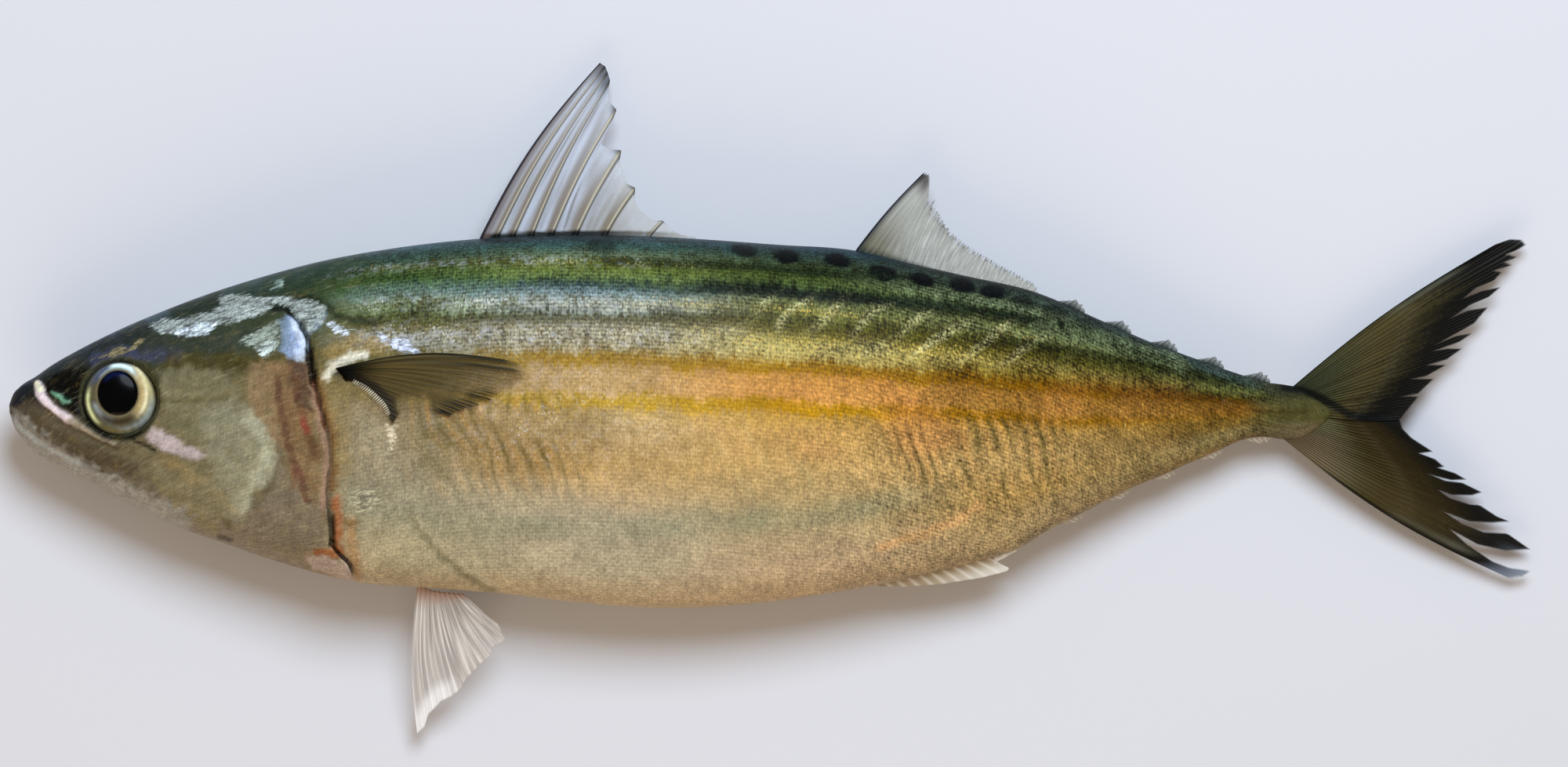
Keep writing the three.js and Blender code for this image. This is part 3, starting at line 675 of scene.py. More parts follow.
body_mesh, unit = round_mesh("fish_body", AROUND, RINGS)
ring_share = 1 - np.arccos(np.clip(unit[:, 2], -1, 1)) / np.pi
angle = np.arctan2(unit[:, 1], unit[:, 0])
angle[np.hypot(unit[:, 0], unit[:, 1]) < 1e-6] = 0
head_part = np.clip(ring_share / HEAD_SHARE, 0, 1)
rear_part = np.clip((ring_share - HEAD_SHARE) / (1 - HEAD_SHARE), 0, 1)
skin_along = HEAD_END * head_part ** 1.35 + (flesh_length - HEAD_END) * rear_part
skin_up, skin_height = section_point(skin_along, angle)


def set_places(mesh, places):
    mesh.vertices.foreach_set("co", np.ascontiguousarray(places, np.float32).ravel())
    mesh.update()


def outward(mesh):
    facing = np.empty(len(mesh.vertices) * 3, np.float32)
    mesh.vertex_normals.foreach_get("vector", facing)
    return facing.reshape(-1, 3)


def give(mesh, name, values):
    """Keeps one number, or one colour, for every point of a mesh under a name a material can read."""
    values = np.asarray(values, np.float32)
    if values.ndim == 1:
        mesh.attributes.new(name, "FLOAT", "POINT").data.foreach_set("value", values)
    else:
        full = np.concatenate([values, np.ones((len(values), 1), np.float32)], 1)
        mesh.attributes.new(name, "FLOAT_COLOR", "POINT").data.foreach_set("color", full.ravel())


set_places(body_mesh, world(skin_along, skin_up, skin_height))
from_eye = np.hypot(skin_along - EYE_ALONG, skin_up - EYE_MIDDLE)
gill_edge = smooth_line([
    (-29.5, 57), (-28, 56.8), (-25, 55.6), (-23.4, 53.8), (-20, 53.1), (-16, 52.6), (-11.9, 52.6), (-8, 53.1),
    (-4, 52.6), (0, 51.6), (4, 50.6), (8, 49.9), (11.8, 49.1), (14, 47.9), (15.8, 46.2), (17.4, 43.4)])
behind_gill = skin_along - gill_edge(skin_up)
side_on = step(0.1, 0.35, np.abs(skin_height - mid_plane(skin_along)) / half_width(skin_along))

# Raised and sunken lines of the skin: line, width, softness, height in mm.
RELIEF_LINES = [
    ([(0.2, -1), (2, -2.9), (4.9, -5.3), (8.8, -7.4), (12.9, -9.3)], 0.1, 0.7, -0.3),
    ([(4.9, 3.9), (5.3, 2.2), (7, 0.3), (10.4, -2), (15, -4.4), (18.6, -5.9)], 0.5, 0.8, 0.4),
    ([(6.4, 3.6), (9.4, 4), (11.8, 2), (12.6, -1)], 1, 1.2, -0.45),
    ([(7.3, 2.6), (9.6, 1.2)], 0.5, 0.5, 0.3),
    ([(9.2, 1.9), (9.7, 1.5)], 0.2, 0.4, -0.5),
    ([(3.6, -1.4), (8, -4.6), (14, -7.2), (20.5, -10)], 1.4, 1.4, 0.3),
    ([(20.2, -5), (22.2, -5.9), (24.2, -7)], 0.05, 0.35, -0.3),
    ([(24.4, -4.4), (27.4, -5.6), (31.4, -7.6)], 0.8, 1, 0.2),
    ([(25.2, 1.2), (28.4, 1), (32.6, 1.4), (37, 1.8)], 0.05, 0.5, -0.12),
    ([(43.6, 16.4), (45, 16.3), (46.4, 15.8)], 0.4, 0.6, -0.4),
    ([(66, -17.6), (67.4, -19.6), (71, -24), (74.7, -27.4), (79.4, -30)], 0.2, 0.9, -0.2),
    ([(201, 0.6), (207, 0.2), (213, 0)], 0.4, 1, 0.6),
    ([(204, 2), (213, 2.4)], 0.2, 0.6, 0.25),
    ([(204, -2.2), (213, -3)], 0.2, 0.6, 0.25),
]
relief = 0.25 * (1 - step(0, 1.2, np.abs(from_eye - LID_EDGE)))
relief -= 2.6 * (1 - step(EYE_RADIUS - 0.5, EYE_RADIUS + 0.4, from_eye))
for line, width, soft, rise in RELIEF_LINES:
    relief += rise * stroke(line, width, soft, skin_along, skin_up)
open_gill = step(16.4, 13.6, skin_up) * step(-28.6, -26.6, skin_up)
relief -= 0.95 * step(-6, -2, behind_gill) * (1 - step(0.05, 0.6, behind_gill)) * open_gill
relief += 0.25 * step(0.3, 1.1, behind_gill) * (1 - step(1.5, 6, behind_gill)) * open_gill
relief += 0.12 * ripple(skin_along, skin_up, 3.4, 83) * step(66, 50, skin_along) * step(6.6, 8, from_eye)
fold_count, fold_cover = folds(skin_along, skin_up, girth(skin_along, skin_up))
relief -= 0.16 * fold_cover * np.cos(2 * np.pi * fold_count)
relief *= side_on
places = world(skin_along, skin_up, skin_height) + outward(body_mesh) * relief[:, None] * MM
places[:, 2] = np.maximum(places[:, 2], 0)
set_places(body_mesh, places)
dress(body_mesh, skin_along, skin_up, skin_height)

skin, surface = new_material("wet_skin", Specular_IOR_Level=0.05)
nodes, links = skin.node_tree.nodes, skin.node_tree.links


def value_of(name, output="Fac"):
    node = nodes.new("ShaderNodeAttribute")
    node.attribute_name = name
    return node.outputs[output]


def weave(along_count, round_count, detail=2.0, rough=0.5, turn=0.0, kind="ShaderNodeTexNoise"):
    """A pattern laid over the skin, with so many repeats a metre along it and round it."""
    shift = nodes.new("ShaderNodeMapping")
    shift.inputs["Rotation"].default_value = (0, 0, turn)
    shift.inputs["Scale"].default_value = (along_count, round_count, round_count)
    node = nodes.new(kind)
    links.new(value_of("skin_place", "Vector"), shift.inputs["Vector"])
    links.new(shift.outputs["Vector"], node.inputs["Vector"])
    node.inputs["Scale"].default_value = 1
    if kind == "ShaderNodeTexNoise":
        node.noise_dimensions = "3D"
        node.inputs["Detail"].default_value = detail
        node.inputs["Roughness"].default_value = rough
        return node.outputs["Fac"]
    node.voronoi_dimensions = "2D"
    node.inputs["Randomness"].default_value = rough
    return node.outputs["Distance"]


def math_of(operation, first, second=0.0):
    node = nodes.new("ShaderNodeMath")
    node.operation = operation
    for socket, value in zip(node.inputs, (first, second)):
        if isinstance(value, (int, float)):
            socket.default_value = value
        else:
            links.new(value, socket)
    return node.outputs[0]


def times(first, second):
    return math_of("MULTIPLY", first, second)


def plus(first, second):
    return math_of("ADD", first, second)


def spread(value, low, high, to_low, to_high):
    """Turns values from low to high into values from to_low to to_high, and nothing beyond them."""
    node = nodes.new("ShaderNodeMapRange")
    node.interpolation_type = "SMOOTHSTEP"
    links.new(value, node.inputs["Value"])
    for name, amount in (("From Min", low), ("From Max", high), ("To Min", to_low), ("To Max", to_high)):
        node.inputs[name].default_value = amount
    return node.outputs["Result"]


def blend(share, first, second):
    node = nodes.new("ShaderNodeMix")
    node.data_type = "RGBA"
    for socket, value in zip([node.inputs[0], node.inputs[6], node.inputs[7]], (share, first, second)):
        if isinstance(value, (int, float, tuple)):
            socket.default_value = value
        else:
            links.new(value, socket)
    return node.outputs[2]


def scaled(colour, amount):
    node = nodes.new("ShaderNodeVectorMath")
    node.operation = "SCALE"
    links.new(colour, node.inputs[0])
    links.new(amount, node.inputs["Scale"])
    return node.outputs["Vector"]


def band_ramp(column):
    node = nodes.new("ShaderNodeValToRGB")
    links.new(band, node.inputs["Fac"])
    stops = node.color_ramp.elements
    for _, place, *tones in BANDS:
        stop = stops[-int(place)] if place in (0, 1) else stops.new(place)
        stop.color = (*linear(*tones[column]), 1)
    return node.outputs["Color"]


SCALE_PITCH = 1.05 * MM
SCALE_SLANT = 0.8

hair = weave(1500, 420, 3, 0.6)
silk = weave(420, 1700, 3, 0.6)
cloudy = weave(130, 200, 4, 0.6)
grain = weave(2600, 2600, 2, 0.6)
scales = weave(1050, 1250, rough=0.3, turn=0.79, kind="ShaderNodeTexVoronoi")
combed = weave(330, 1500, 4, 0.65, turn=0.62)

# Rows of tiny scales, crossing each other at a slant.
split = nodes.new("ShaderNodeSeparateXYZ")
links.new(value_of("skin_place", "Vector"), split.inputs["Vector"])
place_along, place_round = split.outputs["X"], split.outputs["Y"]
drift = spread(weave(210, 210, 2, 0.6), 0.2, 0.8, -4, 4)
rows = []
for sign in (1, -1):
    slant = times(place_round, sign * SCALE_SLANT)
    turns = times(plus(place_along, slant), 2 * math.pi / SCALE_PITCH)
    rows.append(math_of("SINE", plus(turns, drift)))
hatch = times(*rows)

# The bands of colour, with hairy edges that wander a little.
band = plus(value_of("stripe"), spread(hair, 0.25, 0.75, -0.011, 0.011))
band = plus(band, spread(cloudy, 0.3, 0.7, -0.008, 0.008))
tone = band_ramp(0)
for column in range(1, len(BAND_PLACES)):
    share = spread(place_along, BAND_PLACES[column - 1] * MM, BAND_PLACES[column] * MM, 0, 1)
    tone = blend(share, tone, band_ramp(column))

# Pale seams between the blocks of muscle; over the ribs, painted shade in the hollow of each fold and a
# painted highlight along its top.
seam = spread(math_of("PINGPONG", value_of("seam"), 0.5), 0, 0.26, 1, 0)
seam = times(times(seam, value_of("seam_cover")), spread(grain, 0.36, 0.64, 0.05, 0.6))
tone = blend(seam, tone, (*linear(186, 182, 132), 1))
# Painted shade: dark olive in the hollow of each fold.
fold = spread(math_of("PINGPONG", value_of("fold"), 0.5), 0, 0.26, 1, 0)
fold = times(fold, value_of("fold_cover"))
tone = blend(times(fold, 0.82), tone, (*linear(88, 76, 38), 1))
# Painted highlight: golden orange along the top of each fold.
fold_crest_highlight = spread(math_of("PINGPONG", value_of("fold"), 0.5), 0.28, 0.42, 0, 1)
fold_crest_highlight = times(fold_crest_highlight, value_of("fold_cover"))
tone = blend(times(fold_crest_highlight, 0.5), tone, (*linear(196, 148, 84), 1))

# The painted head and marks go over the bands.
kept = math_of("SUBTRACT", 1, value_of("paint_cover"))
painted = nodes.new("ShaderNodeVectorMath")
links.new(scaled(tone, kept), painted.inputs[0])
links.new(value_of("paint", "Color"), painted.inputs[1])

# Clouds, streaks, grain and the edges of the tiny scales make it lighter and darker.
patches = weave(640, 900, 3, 0.65)
shade = 1
for pattern, low, high, dark, light in (
        (cloudy, 0.3, 0.7, 0.9, 1.1), (hair, 0.3, 0.7, 0.88, 1.12), (silk, 0.3, 0.7, 0.94, 1.06),
        (grain, 0.3, 0.7, 0.84, 1.16), (scales, 0.1, 0.65, 1.05, 0.91), (hatch, -1, 1, 0.89, 1.11),
        (patches, 0.3, 0.7, 0.91, 1.09)):
    shade = times(spread(pattern, low, high, dark, light), shade)
lively = times(math_of("SUBTRACT", shade, 1), value_of("liveliness"))
shade = math_of("MAXIMUM", plus(lively, 1), 0.2)
head_share = spread(place_along, 72 * MM, 56 * MM, 0, 1)
streaks = times(math_of("SUBTRACT", combed, 0.5), head_share)
shade = times(shade, spread(streaks, -0.2, 0.2, 0.93, 1.08))
mottled = weave(520, 620, 4, 0.7)
blotches = times(math_of("SUBTRACT", mottled, 0.5), head_share)
shade = times(shade, spread(blotches, -0.2, 0.2, 0.88, 1.12))

# The head is touched with gold, cream and olive; the silver of the flank is bluish in some places
# and brassy in others.
glint = value_of("glint")
cool = times(glint, spread(place_along, 130 * MM, 90 * MM, 0, 1))
toned = scaled(painted.outputs["Vector"], shade)
for share, touch in (
        (spread(blotches, 0.04, 0.2, 0, 0.14), (150, 122, 60)),
        (spread(streaks, 0.05, 0.2, 0, 0.18), (176, 164, 134)),
        (spread(streaks, -0.05, -0.2, 0, 0.2), (84, 78, 46)),
        (times(cool, spread(patches, 0.48, 0.7, 0, 0.5)), (182, 186, 204)),
        (times(glint, spread(patches, 0.5, 0.28, 0, 0.4)), (122, 104, 50))):
    toned = blend(share, toned, (*linear(*touch), 1))

# Painted highlights: gold and silver sparkle of the tiny scales, bright flecks laid into the colour, thickest
# in the pale bands.
sparks = weave(2700, 1500, 2, 0.7)
painted_glints = plus(sparks, spread(cloudy, 0.35, 0.65, -0.1, 0.06))
painted_glints = plus(painted_glints, times(glint, 0.13))
painted_glints = spread(painted_glints, 0.66, 0.8, 0, 0.7)
painted_glints = times(painted_glints, spread(glint, 0, 0.25, 0, 1))
to_rear = spread(place_along, 80 * MM, 125 * MM, 0, 1)
glint_colour = blend(to_rear, (*linear(222, 222, 216), 1), (*linear(214, 186, 96), 1))
up_the_back = spread(value_of("stripe"), 0.8, 0.86, 0, 0.8)
glint_colour = blend(up_the_back, glint_colour, (*linear(190, 176, 96), 1))
with_painted_glints = blend(painted_glints, toned, glint_colour)

# Silver flakes with ragged edges, lighter and darker in patches by a painted sheen.
foil = weave(700, 1900, 4, 0.7, turn=-0.5)
ragged = plus(value_of("flake"), spread(foil, 0.3, 0.7, -0.34, 0.3))
flaked = spread(value_of("flake"), 0, 0.3, 0, 1)
flaked = times(spread(ragged, 0.22, 0.9, 0, 0.9), flaked)
sheen = times(spread(foil, 0.34, 0.66, 0.35, 1.5), spread(cloudy, 0.3, 0.7, 0.75, 1.2))
sheen = times(sheen, spread(grain, 0.3, 0.7, 0.7, 1.35))
links.new(blend(flaked, with_painted_glints, scaled(value_of("flake_colour", "Color"), sheen)),
          surface.inputs["Base Color"])

links.new(spread(cloudy, 0.3, 0.7, 0.3, 0.44), surface.inputs["Roughness"])

depth = plus(times(scales, -0.5), grain)
depth = plus(depth, hair)
dents = nodes.new("ShaderNodeBump")
dents.inputs["Strength"].default_value = 0.5
dents.inputs["Distance"].default_value = 0.1 * MM
links.new(depth, dents.inputs["Height"])
links.new(dents.outputs["Normal"], surface.inputs["Normal"])


def skin_piece(name, mesh, node, material):
    mesh.materials.append(material)
    mesh.shade_smooth()
    piece = bpy.data.objects.new(name, mesh)
    bpy.context.collection.objects.link(piece)
    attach(piece, "root")
    if node:
        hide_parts(node)
    return piece


skin_piece("fish_body", body_mesh, "body", skin)

# ---- Gill covers ------------------------------------------------------------------------------
# Each side of the head ends in a thin bony flap under skin, hinged along its front and free along
# its rear edge, where the red of the gills shows. It is one curved plate laid over the head.

COVER_ROWS = 200
COVER_COLUMNS = 110
COVER_TOP = math.radians(40)
COVER_BOTTOM = math.radians(168)
COVER_FRONT = 34
COVER_REAR = 51.0


def grid_mesh(name, columns, rows):
    """A flat net of faces, with each point's share across and along it, from 0 to 1."""
    bm = bmesh.new()
    bmesh.ops.create_grid(bm, x_segments=columns, y_segments=rows, size=0.5)
    mesh = bpy.data.meshes.new(name)
    bm.to_mesh(mesh)
    bm.free()
    flat = np.clip(places_of(mesh) + 0.5, 0, 1)
    return mesh, flat[:, 0], flat[:, 1]


def other_side(along, height):
    return 2 * mid_plane(along) - height


def gill_cover(side):
    mesh, across, down = grid_mesh(f"{side}_gill_flap", COVER_COLUMNS, COVER_ROWS)
    turn = COVER_TOP + (COVER_BOTTOM - COVER_TOP) * down
    rear = np.full(len(down), COVER_REAR)
    for _ in range(8):  # each round brings it closer to the gill slit
        rear = gill_edge(section_point(rear, turn)[0])
    rear = rear + 0.16 * ripple(down * 60, down * 0, 2.4, 5)
    along = COVER_FRONT + (rear - COVER_FRONT) * across ** 0.8
    up, height = section_point(along, turn)
    if side == "left":
        mesh.flip_normals()
    else:
        height = other_side(along, height)
    set_places(mesh, world(along, up, height))
    to_edge = rear - along
    free = step(0, 0.35, across) * step(0, 0.08, down) * step(1, 0.95, down)
    lift = -0.5 + free * (0.52 + 0.62 * step(9, 0.8, to_edge) - 0.2 * (1 - step(0, 0.3, to_edge)))
    lift += 0.09 * ripple(along, up, 3.4, 83) * free
    places = world(along, up, height) + outward(mesh) * lift[:, None] * MM
    places[:, 2] = np.maximum(places[:, 2], 0.02 * MM)
    set_places(mesh, places)
    dress(mesh, along, up, height)
    piece = skin_piece(f"{side}_gill_flap", mesh, f"{side}_gill_cover", skin)
    wall = piece.modifiers.new("wall", "SOLIDIFY")
    wall.thickness = 0.45 * MM
    wall.offset = -1


gill_cover("left")
gill_cover("right")

# ---- Eyes -------------------------------------------------------------------------------------
# A big round ball in each side of the head, flat in front. A silver and gold iris lies round the
# black pupil, under a clear wet front. A pale arc along the top of the iris is a painted highlight,
# and a blue glint in the pupil a painted reflection.

PUPIL = (-0.4, 0.95, 3.35, 3.7)  # its centre in the eye, half its length and half its height
BALL_RADIUS = EYE_RADIUS + 0.25
BALL_DEPTH = 2.2

iris, iris_surface = new_material("wet_eye", Roughness=0.16, Specular_IOR_Level=0.04, Coat_Weight=0.03,
                                  Coat_Roughness=0.04)


def read_into(material, name, output, socket):
    """Lets a socket of the material's shader take what the mesh keeps under a name."""
    kept_value = material.node_tree.nodes.new("ShaderNodeAttribute")
    kept_value.attribute_name = name
    material.node_tree.links.new(kept_value.outputs[output], socket)


read_into(iris, "eye_colour", "Color", iris_surface.inputs["Base Color"])


def flank_height(along, up):
    """How far the plain flank stands out from the mid plane, at a place seen from the side."""
    back, belly = back_line(along), belly_line(along)
    widest = belly + WIDEST_LEVEL * (back - belly)
    reach = np.where(up > widest, back - widest, widest - belly)
    share = np.clip(np.abs(up - widest) / np.maximum(reach, 0.01), 0, 1)
    power = squareness(along)
    return half_width(along) * (1 - share ** power) ** (1 / power)


def eye(side):
    mesh, unit = round_mesh(f"{side}_eyeball", 128, 96)
    sign = 1 if side == "left" else -1
    east, north = unit[:, 0] * BALL_RADIUS, unit[:, 1] * BALL_RADIUS
    from_middle = np.hypot(east, north)
    in_pupil = np.hypot((east - PUPIL[0]) / PUPIL[2], (north - PUPIL[1]) / PUPIL[3])
    front = unit[:, 2] * sign > 0
    lens = 0.22 * (1 - step(0.85, 1.05, in_pupil)) * front
    seat = flank_height(EYE_ALONG, EYE_MIDDLE) + 0.5
    height = mid_plane(EYE_ALONG) + sign * (seat - BALL_DEPTH) + unit[:, 2] * BALL_DEPTH + sign * lens
    set_places(mesh, world(EYE_ALONG + east, EYE_MIDDLE + north, height))

    turn = np.degrees(np.arctan2(north, east))
    pupil_turn = np.degrees(np.arctan2(north - PUPIL[1], east - PUPIL[0]))
    silver = np.tile(linear(90, 88, 70), (len(east), 1))

    def tint(tone, mask):
        silver[:] = lay(silver, linear(*tone), mask)

    def near(angle, middle, reach):
        return step(reach, reach * 0.45, np.abs((angle - middle + 180) % 360 - 180))

    tint((182, 160, 112), 0.9 * near(pupil_turn, 5, 75) * bell(in_pupil, 1.22, 0.22))
    tint((236, 226, 186), near(pupil_turn, 10, 70) * bell(in_pupil, 1.42, 0.11))
    tint((196, 186, 136), 0.8 * near(turn, 5, 60) * bell(from_middle, 5.1, 0.5))
    tint((140, 152, 156), 0.8 * near(turn, -45, 60) * bell(from_middle, 5.2, 0.5))
    # Painted highlight: a pale cyan-white arc along the top of the iris.
    tint((190, 216, 222), near(pupil_turn, 95, 62) * bell(in_pupil, 1.2, 0.12))
    tint((226, 246, 250), near(pupil_turn, 82, 34) * bell(in_pupil, 1.24, 0.08))
    tint((74, 80, 104), near(pupil_turn, 135, 40) * bell(in_pupil, 1.24, 0.16))
    tint((84, 78, 58), near(turn, 180, 50) * bell(from_middle, 4.6, 0.6))
    tint((206, 212, 158), near(turn, 196, 42) * bell(from_middle, 5.35, 0.3))
    tint((136, 144, 148), 0.9 * near(pupil_turn, 232, 40) * bell(in_pupil, 1.25, 0.13))
    tint((52, 38, 22), 0.9 * near(pupil_turn, 268, 50) * bell(in_pupil, 1.28, 0.17))
    tint((98, 88, 44), 0.8 * near(turn, 268, 50) * bell(from_middle, 5.4, 0.35))
    uneven = 0.14 * ripple(turn / 9, from_middle * 0.6, 0.8, 3) + 0.1 * ripple(east, north, 0.7, 9)
    silver *= 1 + uneven[:, None]
    tint((120, 108, 78), 0.8 * bell(in_pupil, 1.05, 0.035))
    tint((20, 20, 14), step(EYE_RADIUS - 0.45, EYE_RADIUS + 0.1, from_middle))
    tint((3, 3, 4), 1 - step(0.97, 1.03, in_pupil))
    # Painted reflection: a dark blue glint inside the top of the pupil.
    tint((10, 20, 58), 0.9 * near(pupil_turn, 100, 50) * bell(in_pupil, 0.84, 0.1))
    give(mesh, "eye_colour", np.clip(silver, 0, 1))
    skin_piece(f"{side}_eyeball", mesh, f"{side}_eye", iris)


eye("left")
eye("right")

# ---- Fins that stand out from the body --------------------------------------------------------
# Each fin is a clear skin thinner than paper, held open by fine rays or spines that taper from the
# body to the free edge. Fish laid on a surface let them sink a little towards it.

FIN_DROOP = 0.35
THICKNESS_STEPS = 20

fin_skin, fin_surface = new_material("fin_skin", Roughness=0.5, Specular_IOR_Level=0.12)
read_into(fin_skin, "fin_colour", "Color", fin_surface.inputs["Base Color"])
read_into(fin_skin, "fin_cover", "Fac", fin_surface.inputs["Alpha"])


def along_line(points, shares, smooth=False):
    """Places at shares from 0 to 1 of a line through (along, up) or (share, along, up) points."""
    points = np.array(points, float)
    if points.shape[1] == 3:
        marks, points = points[:, 0], points[:, 1:]
    else:
        lengths = np.concatenate([[0], np.cumsum(np.hypot(*np.diff(points, axis=0).T))])
        marks = lengths / lengths[-1]
    if smooth:
        return [smooth_line(list(zip(marks, part)))(shares) for part in points.T]
    return [np.interp(shares, marks, part) for part in points.T]


def off_body(along, up):
    return np.maximum(np.maximum(up - back_line(along), belly_line(along) - up), 0)


def mid_height(along, up):
    return mid_plane(along) - FIN_DROOP * off_body(along, up)


def trim(mesh):
    """Takes away the faces that lie in a gap or beyond a torn edge, where the cover is 0."""
    bm = bmesh.new()
    bm.from_mesh(mesh)
    shown = bm.verts.layers.float["fin_cover"]
    gone = [face for face in bm.faces if max(point[shown] for point in face.verts) < 0.02]
    bmesh.ops.delete(bm, geom=gone, context="FACES")
    bm.to_mesh(mesh)
    bm.free()


def fin(name, node, root, edge, columns, rows, thick, paint, at_ray, height=mid_height, bow=0,
        teeth=(1, 0), outline=None):
    """A fin between its root line and its free edge. `bow` bends the rays, `paint` colours them,
    `teeth` is the count and the depth of the frayed teeth along the edge, and the fin is cut to
    `outline` where there is one."""
    mesh, across, out = grid_mesh(name, columns, rows)
    root_along, root_up = along_line(root, across, smooth=True)
    edge_along, edge_up = along_line(edge, across)
    run, climb = edge_along - root_along, edge_up - root_up
    bend = (bow(across) if callable(bow) else bow) * np.sin(np.pi * out)
    reach = np.maximum(np.hypot(run, climb), 0.01)
    far = out * (1 - teeth[1] / np.maximum(reach, teeth[1]) * np.abs((across * teeth[0]) % 1 - 0.5) * 2)
    along = root_along + run * far - climb / reach * bend
    up = root_up + climb * far + run / reach * bend
    ray = at_ray(across, out)
    set_places(mesh, world(along, up, height(along, up)))
    colour, cover = paint(across, out, along, up, ray)
    if outline:
        cover = np.clip(cover, 0, 1) * inside(outline, 0.3, along, up)
    give(mesh, "fin_colour", np.clip(colour, 0, 1))
    give(mesh, "fin_cover", np.clip(cover, 0, 1))
    piece = skin_piece(name, mesh, node, fin_skin)
    group = piece.vertex_groups.new(name="thickness")
    weights = np.clip((0.12 + 0.88 * ray) * (1 - 0.75 * out), 0.05, 1)
    for count in range(1, THICKNESS_STEPS + 1):
        chosen = np.nonzero(np.round(weights * THICKNESS_STEPS) == count)[0]
        group.add(chosen.tolist(), count / THICKNESS_STEPS, "REPLACE")
    trim(mesh)
    wall = piece.modifiers.new("wall", "SOLIDIFY")
    wall.thickness = thick * MM
    wall.offset = 0
    wall.vertex_group = "thickness"


def even_rays(count, width=0.3, split=None):
    """1 on each of `count` rays and 0 between them; beyond `split` each ray is two."""
    def at(across, out):
        near = np.abs((across * (count - 1) + 0.5) % 1 - 0.5) * 2
        ray = bell(near, 0, width)
        if split:
            fork = np.abs((across * (count - 1) * 2 + 0.5) % 1 - 0.5) * 2
            share = step(split, split + 0.15, out)
            ray = ray * (1 - share) + bell(fork, 0, 1.2 * width) * share
        return ray
    return at


def layered(base, *layers):
    """A colour with others laid over it, each a tone and the share of it at every place."""
    colour = linear(*base)
    for tone, share in layers:
        colour = lay(colour, linear(*tone), share)
    return colour


# First dorsal fin: stiff grey-brown spines, close together in front, with a clear bluish skin that is
# torn between their tips. Each spine is (share of the fin's base, along and up of its tip).
SPINES = [
    (0, 97.1, 56.9), (0.075, 98, 56.3), (0.148, 98.4, 55.3), (0.235, 98.8, 54), (0.327, 99.9, 49.1),
    (0.436, 100.7, 42.4), (0.57, 103, 36.2), (0.77, 107.5, 30.8)]
TORN_SKIN = [
    (0.27, 98.5, 52.3), (0.3, 98.6, 50.6), (0.345, 99.2, 47.3), (0.365, 98, 44.7), (0.385, 97.4, 43.4),
    (0.41, 98.7, 42.6), (0.455, 100.4, 40.5), (0.51, 100.9, 38.2), (0.545, 101.6, 36.9), (0.6, 102.9, 34.2),
    (0.65, 103.7, 32.5), (0.71, 105.3, 31.2), (0.75, 106.4, 30.7), (0.79, 107.9, 30.4), (0.86, 109.1, 29.2),
    (0.92, 110.4, 28.5), (1, 113, 28)]


def to_spine(across):
    """How far each place is behind (or, below 0, in front of) the nearest spine, as a share of the base."""
    gaps = across[:, None] - np.array([spine[0] for spine in SPINES])[None, :]
    return gaps[np.arange(len(across)), np.argmin(np.abs(gaps), axis=1)]


def dorsal_spines(across, out):
    return bell(to_spine(across), 0, 0.01 - 0.004 * out)


def paint_first_dorsal(across, out, along, up, ray):
    spine = to_spine(across)
    streak = ripple(across * 44, out * 2.5, 1, 8)
    cool = step(0.62, 0.3, across)
    shade = bell(spine, -0.016, 0.024 - 0.012 * out) * step(1.3, 0.3, out) * step(0.75, 0.5, across)
    behind = bell(spine, 0.009, 0.0036)
    crown = step(0.84, 0.98, out + 0.04 * streak) * step(0.32, 0.2, across)
    tips = step(0.92, 1, out) * bell(spine, 0, 0.018)
    dark_root = step(1.1, 0.5, off_body(along, up)) * step(1.1, 0.5, across)
    brown_front = step(0.054, 0.03, across) * step(1.2, 0.7, out)
    front = bell(across, 0, 0.013)
    colour = layered(
        (178, 175, 166), ((214, 222, 240), np.clip(cool + 0.4 * streak, 0, 1)),
        ((112, 98, 80), 0.9 * shade), ((128, 118, 98), np.clip(1.1 * ray, 0, 1)),
        ((206, 200, 182), 0.8 * bell(spine, -0.001, 0.003)), ((44, 38, 32), 0.85 * behind),
        ((38, 38, 44), 0.85 * crown), ((44, 40, 38), 0.85 * tips), ((8, 12, 12), dark_root),
        ((84, 66, 56), 0.8 * brown_front), ((22, 28, 44), front))
    cover = (0.24 + 0.2 * streak * cool + 0.75 * ray + 0.75 * shade + 0.65 * behind + dark_root + 0.7 * crown
             + front + 0.5 * tips + 0.7 * brown_front)
    return colour, cover


def dorsal_bow(across):
    return np.interp(across, [0, 0.15, 0.33, 0.44, 0.6, 1], [1.5, 1, 0.6, 0.35, 0.2, 0])


fin("spiny_back_fin", "first_dorsal_fin", [(0, 77.2, 27.3), (0.5, 95.1, 27.6), (1, 113, 27.3)],
    sorted(SPINES + TORN_SKIN), 320, 60, 0.8, paint_first_dorsal, bow=dorsal_bow, at_ray=dorsal_spines)


# Second dorsal fin: soft close rays, dark along the front, frayed like old cloth behind.
def paint_second_dorsal(across, out, along, up, ray):
    grain = ripple(along * 3, up * 3, 1, 14)
    fine = ripple(across * 90, out * 3, 1, 15)
    ragged = step(0.8, 1, out) * step(0.1, 0.3, across)
    front = bell(across, 0, 0.03)
    colour = layered(
        (168, 168, 162), ((206, 206, 202), np.clip(0.35 * ray + 0.5 * fine, 0, 1)),
        ((116, 114, 104), 0.5 * np.clip(-fine - 0.3, 0, 1)),
        ((104, 98, 66), 0.8 * step(0.35, 0.05, across) * step(0.7, 0.1, out)),
        ((58, 46, 42), 0.85 * step(0.78, 0.95, out) * step(0.2, 0.08, across)),
        ((40, 46, 28), step(0.16, 0.03, out)), ((92, 90, 88), ragged * np.clip(0.5 + grain, 0, 1)),
        ((20, 24, 34), front))
    return colour, 0.74 + 0.2 * ray + 0.12 * grain + front - ragged * np.clip(0.35 + 1.3 * fine, 0, 1)


